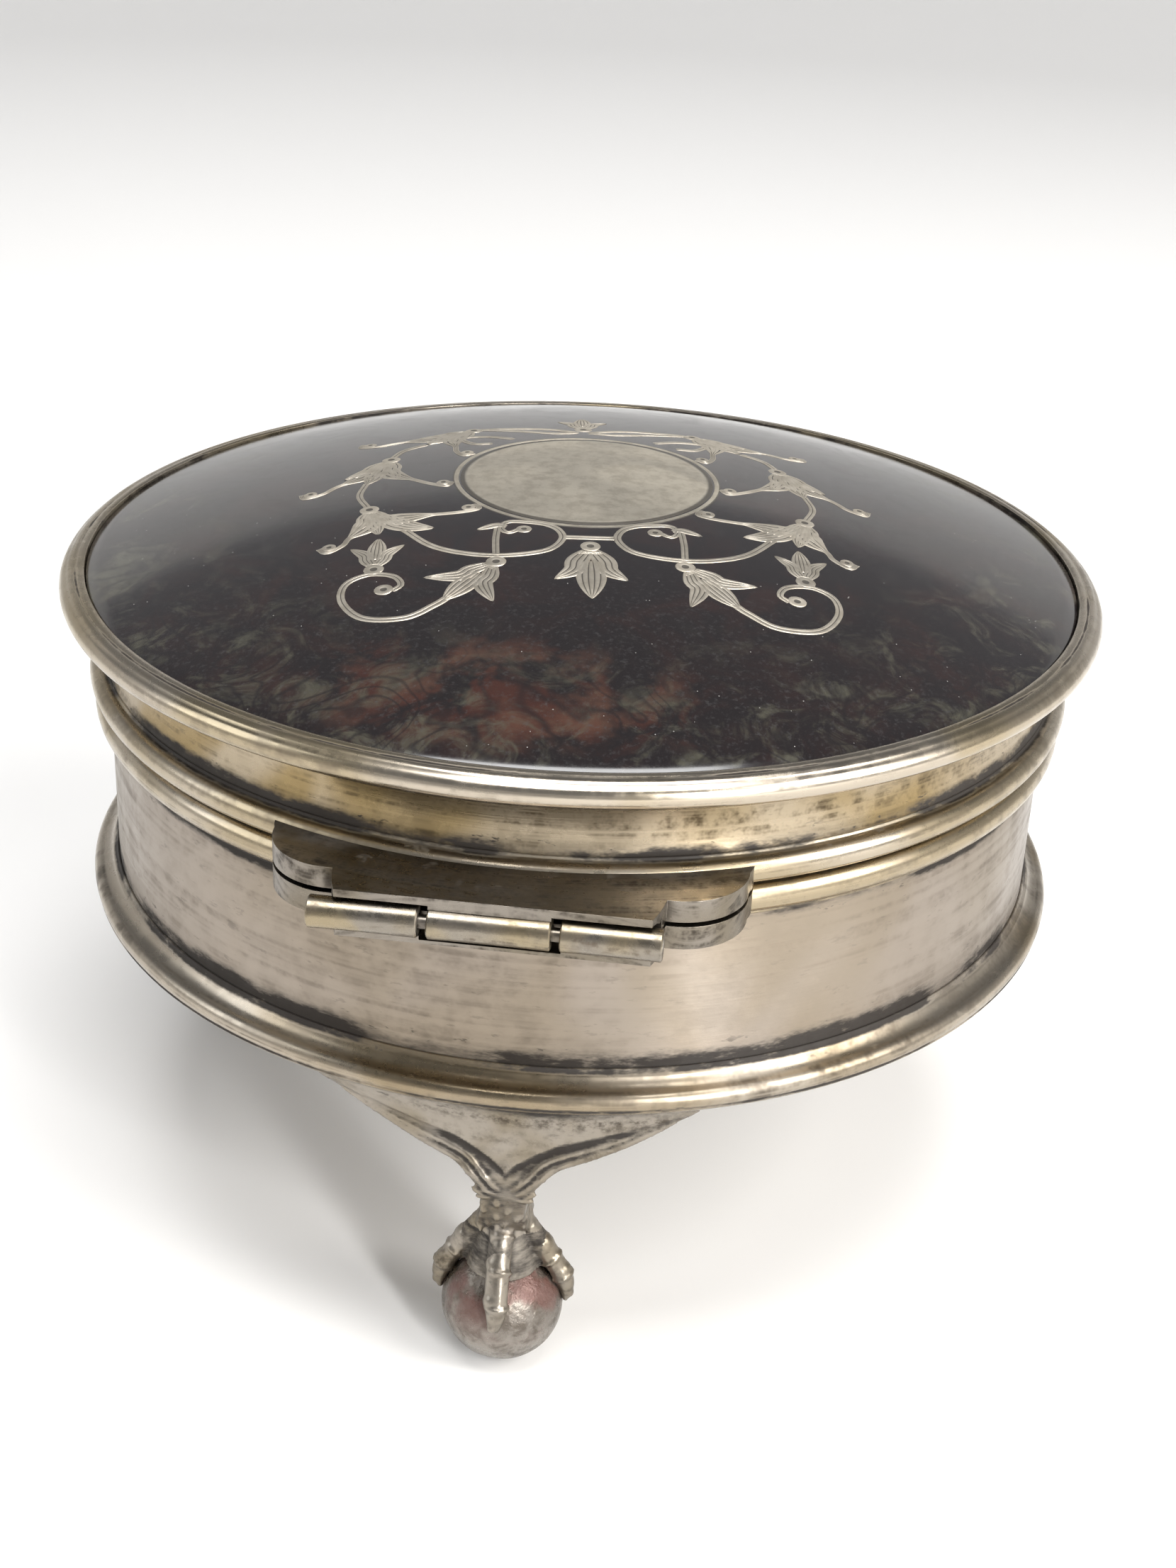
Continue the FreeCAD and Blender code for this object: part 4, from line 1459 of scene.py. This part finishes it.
# ------------------------------------------------------------------ feet
@dataclass
class Feet:
    """Three cast legs, each with a smooth knee, feathered wings, ringed talons and a ball."""

    palette: Palette
    voxel: float = 0.15
    lean: float = 0.55
    toe_r: float = 0.93
    shield_z: float = 18.2
    shield_half: float = 13.5
    groove_width: float = 0.28
    groove_depth: float = 0.13
    wing: Sequence[Point] = ((1.3, 17.7), (2.2, 19.0), (3.6, 20.4), (6.4, 21.6), (9.4, 22.9), (12.2, 24.4))

    def blob(self, bm: BMesh, at: Vector, along: Vector, long: float, wide: float, thick: float,
             out: Vector | None = None) -> None:
        """Adds an egg-shaped lump.

        Args:
            bm: The leg's mesh.
            at: Its middle.
            along: Direction of its length.
            long: Half its length.
            wide: Half its width.
            thick: Half its thickness.
            out: Direction of its thickness.
        """
        along = along.normalized()
        out = (out or along.orthogonal()).normalized()
        side = out.cross(along).normalized()
        out = along.cross(side)
        basis = Matrix((side * wide, along * long, out * thick)).transposed().to_4x4()
        bmesh.ops.create_icosphere(bm, subdivisions=2, radius=1.0, matrix=Matrix.Translation(at) @ basis)

    def toe(self, bm: BMesh, degrees: float, path: Sequence[Point], rings: int) -> None:
        """A ringed toe that runs down the ball to a claw.

        Args:
            bm: The leg's mesh.
            degrees: Its direction round the ball, 90 outwards.
            path: Distance out from the ball's axis, and height, of points along it.
            rings: Number of knuckle rings.
        """
        a = math.radians(degrees)
        out = Vector((math.cos(a), math.sin(a), 0))
        points = [Vector((0, SIZE.ball_centre_r, z)) + out * d for d, z in path]
        line = smooth_path(points, 0.22)
        last = len(line) - 1
        for number, point in enumerate(line):
            t = number / last
            along = line[min(number + 1, last)] - line[max(number - 1, 0)]
            claw = max(0.0, (t - 0.78) / 0.22)
            r = self.toe_r * (1 - 0.12 * t) * (1 - 0.72 * claw**1.3)
            self.blob(bm, point, along, r, r, r)
        for ring in range(rings):
            t = 0.16 + 0.58 * ring / max(1, rings - 1)
            number = round(t * last)
            along = line[min(number + 1, last)] - line[number - 1]
            self.blob(bm, line[number], along, 0.34, self.toe_r + 0.16, self.toe_r + 0.16)

    def feathers(self, bm: BMesh, skin: BVHTree) -> None:
        """Overlapping tufts along the lower edge of the knee and down the ankle.

        Args:
            bm: The leg's mesh.
            skin: The plain leg, to lay them on.
        """
        route = smooth_path([Vector((x, 0, z)) for x, z in self.wing], 0.62)
        for side in (1, -1):
            for number, spot in enumerate(route):
                share = number / (len(route) - 1)
                ahead = route[min(number + 1, len(route) - 1)] - route[max(number - 1, 0)]
                for row in range(3):
                    drop = (-0.55 + 0.75 * row) * (1.0 - 0.55 * share)
                    x, z = side * (spot.x - drop * 0.45), spot.z + drop
                    hit, normal, _, _ = skin.ray_cast(Vector((x, 60, z)), Vector((0, -1, 0)))
                    if hit is None:
                        continue
                    flow = Vector((side * ahead.x, 0, ahead.z - 0.5 + 0.22 * row)).normalized()
                    flow = (flow - normal * flow.dot(normal)).normalized()
                    size = (1.0 - 0.45 * share) * (0.85 + 0.3 * noise.noise(Vector((x, z, row)) * 2))
                    self.blob(bm, hit - normal * 0.05, flow + normal * 0.1, 0.95 * size, 0.3 * size, 0.3 * size,
                              normal)
        for ring in range(5):
            z = 13.0 + ring * 0.95
            for spoke in range(9):
                a = math.radians(40 * spoke + 20 * (ring % 2))
                start = Vector((3.2 * math.cos(a), SIZE.ball_centre_r + 0.4 + 3.4 * math.sin(a), z))
                centre = Vector((0, SIZE.ball_centre_r + 0.4, z))
                hit, normal, _, _ = skin.ray_cast(start, (centre - start).normalized())
                if hit is not None:
                    lean = Vector((0.25 * math.cos(3 * a), 0, -1))
                    self.blob(bm, hit - normal * 0.1, lean, 0.85, 0.25, 0.24, normal)

    def leg_mesh(self) -> bpy.types.Mesh:
        """Casts the rear leg: its node, new toes and feathers joined into one skin.

        Returns:
            The mesh, in millimetres.
        """
        bm = from_node("leg_rear")
        skin = BVHTree.FromBMesh(bm)
        down = [(0.7, 13.0), (1.9, 11.7), (3.2, 10.0), (4.45, 8.1), (5.0, 6.5), (5.0, 5.3)]
        for degrees in (0, 180, 270):
            self.toe(bm, degrees, down, 4)
        self.toe(bm, 93, [(0.9, 13.0), (2.4, 11.4), (4.0, 9.2), (4.85, 7.2), (4.9, 5.4)], 3)
        self.feathers(bm, skin)
        obj = to_object(bm, "leg_casting")
        obj.data.transform(Matrix.Scale(1 / MM, 4))
        mesh = skinned(obj, self.voxel)
        bpy.data.objects.remove(obj)
        return mesh

    @staticmethod
    def border(x: float) -> float:
        """Height of the lower border of the knee's shield, at a distance from its middle."""
        return 19.5 + 1.02 * x**0.72 if x < 4 else 22.27 + (x - 4) * 0.28

    def shape(self, bm: BMesh) -> None:
        """Softens the casting, cuts the crease round the knee's smooth shield and leans the ankle."""
        bmesh.ops.smooth_vert(bm, verts=bm.verts, factor=0.5, use_axis_x=True, use_axis_y=True, use_axis_z=True)
        soil_hollows(bm, 3.6, 2)
        layer = grime_and_shade_layer(bm)
        for vert in bm.verts:
            x, z = abs(vert.co.x), vert.co.z
            off = z - self.border(x)
            if vert.normal.y > 0.15 and z > self.shield_z and x < self.shield_half:
                groove = math.exp(-((off / self.groove_width) ** 2))
                vert.co -= vert.normal * self.groove_depth * groove
                vert[layer] = min(1.0, vert[layer] + 0.35 * groove)
            if vert.normal.y > 0.1 and off > 0.4:
                vert[layer] *= 0.3
            # dirt between the talons
            if 7.5 < z < 12 and math.hypot(x, vert.co.y - SIZE.ball_centre_r) < 3.3:
                vert[layer] = min(1.0, vert[layer] + 0.6)
            # painted shadow under the foot ring, kept in the same layer as the dirt
            under = max(0.0, 1 - (SIZE.base_z - z) / 1.6)
            vert[layer] = min(1.0, vert[layer] + 0.8 * under)
            # the ankle leans, the ball and the top of the leg stay
            rise = min(1.0, max(0.0, (z - 12.4) / 7.0))
            hold = min(1.0, max(0.0, (SIZE.base_z - z) / 4.0))
            vert.co.x -= self.lean * rise * rise * (3 - 2 * rise) * hold

    def ball(self) -> BMesh:
        """Ball with a worn flat and shallow dents.

        Returns:
            The mesh, in millimetres.
        """
        bm = bmesh.new()
        centre = Vector((0, SIZE.ball_centre_r, box_mm("ball_rear")[1].z - SIZE.ball_r))
        bmesh.ops.create_icosphere(bm, subdivisions=5, radius=SIZE.ball_r, matrix=Matrix.Translation(centre))
        for vert in bm.verts:
            dent = 0.5 + 0.5 * noise.noise(vert.co * 0.55)
            vert.co -= (vert.co - centre).normalized() * 0.12 * dent
            vert.co.z = max(vert.co.z, 0.0)
        bmesh.ops.recalc_face_normals(bm, faces=bm.faces)
        return bm

    def build(self) -> None:
        """Builds one leg and ball, and turns copies of them to the other places."""
        casting = self.leg_mesh()
        rear = bmesh.new()
        rear.from_mesh(casting)
        self.shape(rear)
        for name, degrees in FOOT_TURNS.items():
            turn = Matrix.Rotation(math.radians(degrees), 4, "Z")
            leg = rear.copy()
            leg.transform(turn)
            obj = to_object(leg, "leg_" + name + "_chased", 70)
            place(obj, Body.BASE, Slot.CAST, self.palette.cast, "leg_" + name)
            ball = self.ball()
            ball.transform(turn)
            obj = to_object(ball, "ball_" + name + "_worn", 60)
            place(obj, Body.BASE, Slot.CAST, self.palette.ball, "ball_" + name)
        rear.free()
        bpy.data.meshes.remove(casting)


# ------------------------------------------------------------------ lining
@dataclass
class Lining:
    """Boards, wall lining, velvet cushion and silk lid pad."""

    palette: Palette
    inset: float = 0.75
    voxel: float = 0.9
    cap: float = 1.1
    blow_up: float = 10.0
    frames: int = 20
    held_share: float = 0.12

    @staticmethod
    def room(node: str, up: float) -> Point:
        """Heights of a pad's board side and of its crown."""
        low, high = box_mm(node)
        return (low.z, high.z) if up > 0 else (high.z, low.z)

    def stuffed(self, node: str, up: float) -> BMesh:
        """A padded disc blown up by a cloth simulation inside its node's room.

        Args:
            node: The node that it replaces.
            up: 1 where its crown is above, -1 where it is below.

        Returns:
            The mesh, in millimetres.
        """
        _, high = box_mm(node)
        back, front = self.room(node, up)
        r = high.x - self.inset
        depth = abs(front - back)
        section = Section(0, back).line(r - 0.4, back)
        section.arc((r, back + up * depth * 0.25), (r - 0.5, back + up * depth * 0.5), 6)
        for number in range(1, 17):
            at = (r - 0.5) * (1 - number / 16)
            section.line(at, back + up * depth * (0.5 + 0.34 * (1 - (at / r) ** 2) ** 0.7))
        scale = self.blow_up * MM
        obj = to_object(spun(section, False), node + "_cloth")
        obj.data.transform(Matrix.Scale(self.blow_up, 4))
        obj.data = skinned(obj, self.voxel * scale)
        held = obj.vertex_groups.new(name="held")
        for vert in obj.data.vertices:
            share = (vert.co.z / scale - back) / (front - back)
            if share < self.held_share:
                held.add([vert.index], 1.0, "REPLACE")
        before = [vert.co.copy() for vert in obj.data.vertices]
        cloth = obj.modifiers.new("cloth", "CLOTH")
        cloth.settings.quality = 5
        cloth.settings.mass = 0.3
        cloth.settings.use_pressure = True
        cloth.settings.uniform_pressure_force = 4
        cloth.settings.effector_weights.gravity = 0
        cloth.settings.vertex_group_mass = "held"
        cloth.collision_settings.use_collision = False
        for number in range(1, self.frames + 1):
            bpy.context.scene.frame_set(number)
        mesh = applied(obj)
        bpy.context.scene.frame_set(1)
        for vert, start in zip(mesh.vertices, before):
            moved = vert.co - start
            limit = self.cap * scale
            if moved.length > limit:
                vert.co = start + moved.normalized() * limit
        bpy.data.objects.remove(obj)
        mesh.transform(Matrix.Scale(1 / scale, 4))
        bm = bmesh.new()
        bm.from_mesh(mesh)
        bpy.data.meshes.remove(mesh)
        return bm

    def sew(self, bm: BMesh, node: str, up: float, puckers: int) -> None:
        """Draws in the seam round the edge with small puckers, and keeps the pad in its room.

        Args:
            bm: The pad's mesh.
            node: The node whose room it keeps to.
            up: 1 where its crown is above, -1 where it is below.
            puckers: Number of stitches that show round the seam.
        """
        low, high = box_mm(node)
        back, front = self.room(node, up)
        layer = grime_and_shade_layer(bm)
        for vert in bm.verts:
            r = math.hypot(vert.co.x, vert.co.y)
            angle = math.atan2(vert.co.y, vert.co.x)
            share = (vert.co.z - back) / (front - back)
            edge = math.exp(-(((high.x - 1.6 - r) / 1.7) ** 2))
            pull = 0.5 + 0.5 * math.cos(angle * puckers + 2 * noise.noise(vert.co * 0.2))
            if share > 0.3:
                vert.co.z -= up * 0.22 * edge * pull
            seam = math.exp(-(((share - 0.42) / 0.07) ** 2)) if r > high.x - 2.5 else 0.0
            if r > 1:
                vert.co.x *= 1 - 0.3 * seam / r
                vert.co.y *= 1 - 0.3 * seam / r
            vert[layer] = seam
            r = math.hypot(vert.co.x, vert.co.y)
            most = high.x - 0.05
            if r > most:
                vert.co.x *= most / r
                vert.co.y *= most / r
            vert.co.z = min(max(vert.co.z, low.z), high.z)

    def pad(self, node: str, name: str, body: Body, slot: Slot, material: Material, up: float,
            puckers: int) -> None:
        """Makes one padded disc.

        Args:
            node: The node that it replaces.
            name: The piece's name.
            body: The body it rides on.
            slot: Its slot.
            material: Its cloth.
            up: 1 where its crown is above, -1 where it is below.
            puckers: Number of stitches that show round the seam.
        """
        bm = self.stuffed(node, up)
        self.sew(bm, node, up, puckers)
        bmesh.ops.recalc_face_normals(bm, faces=bm.faces)
        obj = to_object(bm, name, 80)
        fine = obj.modifiers.new("fine", "SUBSURF")
        fine.levels = 1
        fine.render_levels = 1
        place(obj, body, slot, material, node)

    def wall(self) -> None:
        """Strip of velvet stretched round the inside of the wall."""
        low, high = box_mm("wall_lining")
        outer, thick = high.x, 0.45
        section = Section(outer - 0.02, low.z).line(outer - 0.02, high.z - 0.2)
        section.arc((outer - 0.2, high.z), (outer - thick, high.z - 0.25), 5)
        section.line(outer - thick, low.z)
        bm = spun(section)
        grime_and_shade_layer(bm)
        obj = to_object(bm, "wall_velvet")
        place(obj, Body.BASE, Slot.VELVET, self.palette.velvet, "wall_lining")

    def build(self) -> None:
        """Builds the lining; the two boards keep their nodes and get a finish."""
        repaint("base_board", self.palette.card)
        repaint("lid_board", self.palette.card)
        self.wall()
        self.pad("base_cushion", "velvet_cushion", Body.BASE, Slot.VELVET, self.palette.velvet, 1, 60)
        self.pad("lid_pad", "silk_pad", Body.LID, Slot.SILK, self.palette.silk, -1, 72)


# ------------------------------------------------------------------ studio
SENSOR_WIDTH = 36
LIGHTS = (
    ("key", 62, 34, 620, (240, 420), 3.4, (1.0, 0.98, 0.95)),
    ("window", 29, 22, 700, (60, 420), 4.2, (1, 1, 1)),
    ("fill", -80, 30, 650, (300, 380), 0.9, (0.94, 0.97, 1.0)),
    ("top", 10, 80, 800, (500, 400), 6.5, (1, 1, 1)),
)


@dataclass
class Studio:
    """Pale floor, soft lights and the camera."""

    camera_distance: float = 190.3
    camera_elevation: float = 21.49
    camera_turn: float = 186.5
    aim_z: float = 52.85
    tilt: float = -5.39
    pan: float = -0.35
    roll: float = -2.39
    lens: float = 52.36
    floor_colour: Colour = (0.8, 0.79, 0.775)

    def floor(self) -> None:
        """Pale floor that runs up behind the box as a low, wide bowl."""
        section = Section(0, 0).line(600, 0)
        section.arc((1000, 160), (1200, 560), 12)
        bm = spun(section, False)
        for face in bm.faces:
            if face.normal.z < 0:
                face.normal_flip()
        obj = to_object(bm, "floor", 90)
        material = bpy.data.materials.new("paper_floor")
        material.use_nodes = True
        shader = material.node_tree.nodes["Principled BSDF"]
        shader.inputs["Base Color"].default_value = (*self.floor_colour, 1)
        shader.inputs["Roughness"].default_value = 0.9
        obj.data.materials.append(material)

    def light(self, name: str, azimuth: float, elevation: float, far: float, size: Point, power: float,
              colour: Colour) -> None:
        """A soft rectangular light aimed at the box.

        Args:
            name: Its name.
            azimuth: Direction round the box, in degrees from the camera's, to the right.
            elevation: Its height as an angle.
            far: Distance in millimetres.
            size: Width and height in millimetres.
            power: Watts.
            colour: Its tint.
        """
        data = bpy.data.lights.new(name, "AREA")
        data.shape = "RECTANGLE"
        data.size, data.size_y = size[0] * MM, size[1] * MM
        data.energy = power
        data.color = colour
        obj = bpy.data.objects.new(name, data)
        turn = math.radians(self.camera_turn + azimuth)
        tip = math.radians(elevation)
        spot = Vector((math.sin(turn) * math.cos(tip), -math.cos(turn) * math.cos(tip), math.sin(tip)))
        obj.location = spot * far * MM + Vector((0, 0, 0.04))
        obj.rotation_euler = spot.to_track_quat("Z", "Y").to_euler()
        bpy.context.scene.collection.objects.link(obj)

    def world(self) -> None:
        """Even pale surroundings, dimmer overhead than at the horizon."""
        world = bpy.data.worlds.new("studio_air")
        world.use_nodes = True
        bpy.context.scene.world = world
        w = Wiring(world.node_tree)
        shade = world.node_tree.nodes["Background"]
        height = w.add("SeparateXYZ", Vector=w.add("TexCoord").outputs["Generated"]).outputs[2]
        colour = w.ramp(height, [(0.0, (0.9, 0.9, 0.9)), (0.35, (0.62, 0.63, 0.65)), (1.0, (0.3, 0.31, 0.33))])
        w.feed(shade.inputs["Color"], colour)
        shade.inputs["Strength"].default_value = 0.5
        bpy.context.scene.view_settings.view_transform = "Standard"

    def camera(self) -> None:
        """Camera near the hinge side, a little above the lid."""
        data = bpy.data.cameras.new("camera")
        data.lens = self.lens
        data.sensor_width = SENSOR_WIDTH
        data.clip_start, data.clip_end = 0.005, 20
        obj = bpy.data.objects.new("camera", data)
        elevation = math.radians(self.camera_elevation)
        turn = Matrix.Rotation(math.radians(self.camera_turn), 4, "Z")
        spot = Vector((0, -math.cos(elevation), math.sin(elevation))) * self.camera_distance
        spot = turn @ spot + Vector((0, 0, self.aim_z))
        look = turn @ Matrix.Rotation(math.pi / 2 - elevation, 4, "X")
        look = look @ Matrix.Rotation(math.radians(self.tilt), 4, "X")
        look = look @ Matrix.Rotation(math.radians(self.pan), 4, "Y")
        look = look @ Matrix.Rotation(-math.radians(self.roll), 4, "Z")
        obj.matrix_world = Matrix.Translation(spot * MM) @ look
        bpy.context.scene.collection.objects.link(obj)
        bpy.context.scene.camera = obj

    def build(self) -> None:
        """Sets up floor, lights, surroundings and camera."""
        self.floor()
        self.world()
        for light in LIGHTS:
            self.light(*light)
        self.camera()


def main() -> None:
    """Builds the box piece by piece."""
    logging.basicConfig(level=logging.INFO, format="%(name)s: %(message)s")
    Studio().build()
    palette = Palette()
    Drum(palette).build()
    LidShell(palette).build()
    Inlay(palette).build()
    Hinge(palette).build()
    Feet(palette).build()
    Lining(palette).build()


if __name__ == "__main__":
    main()
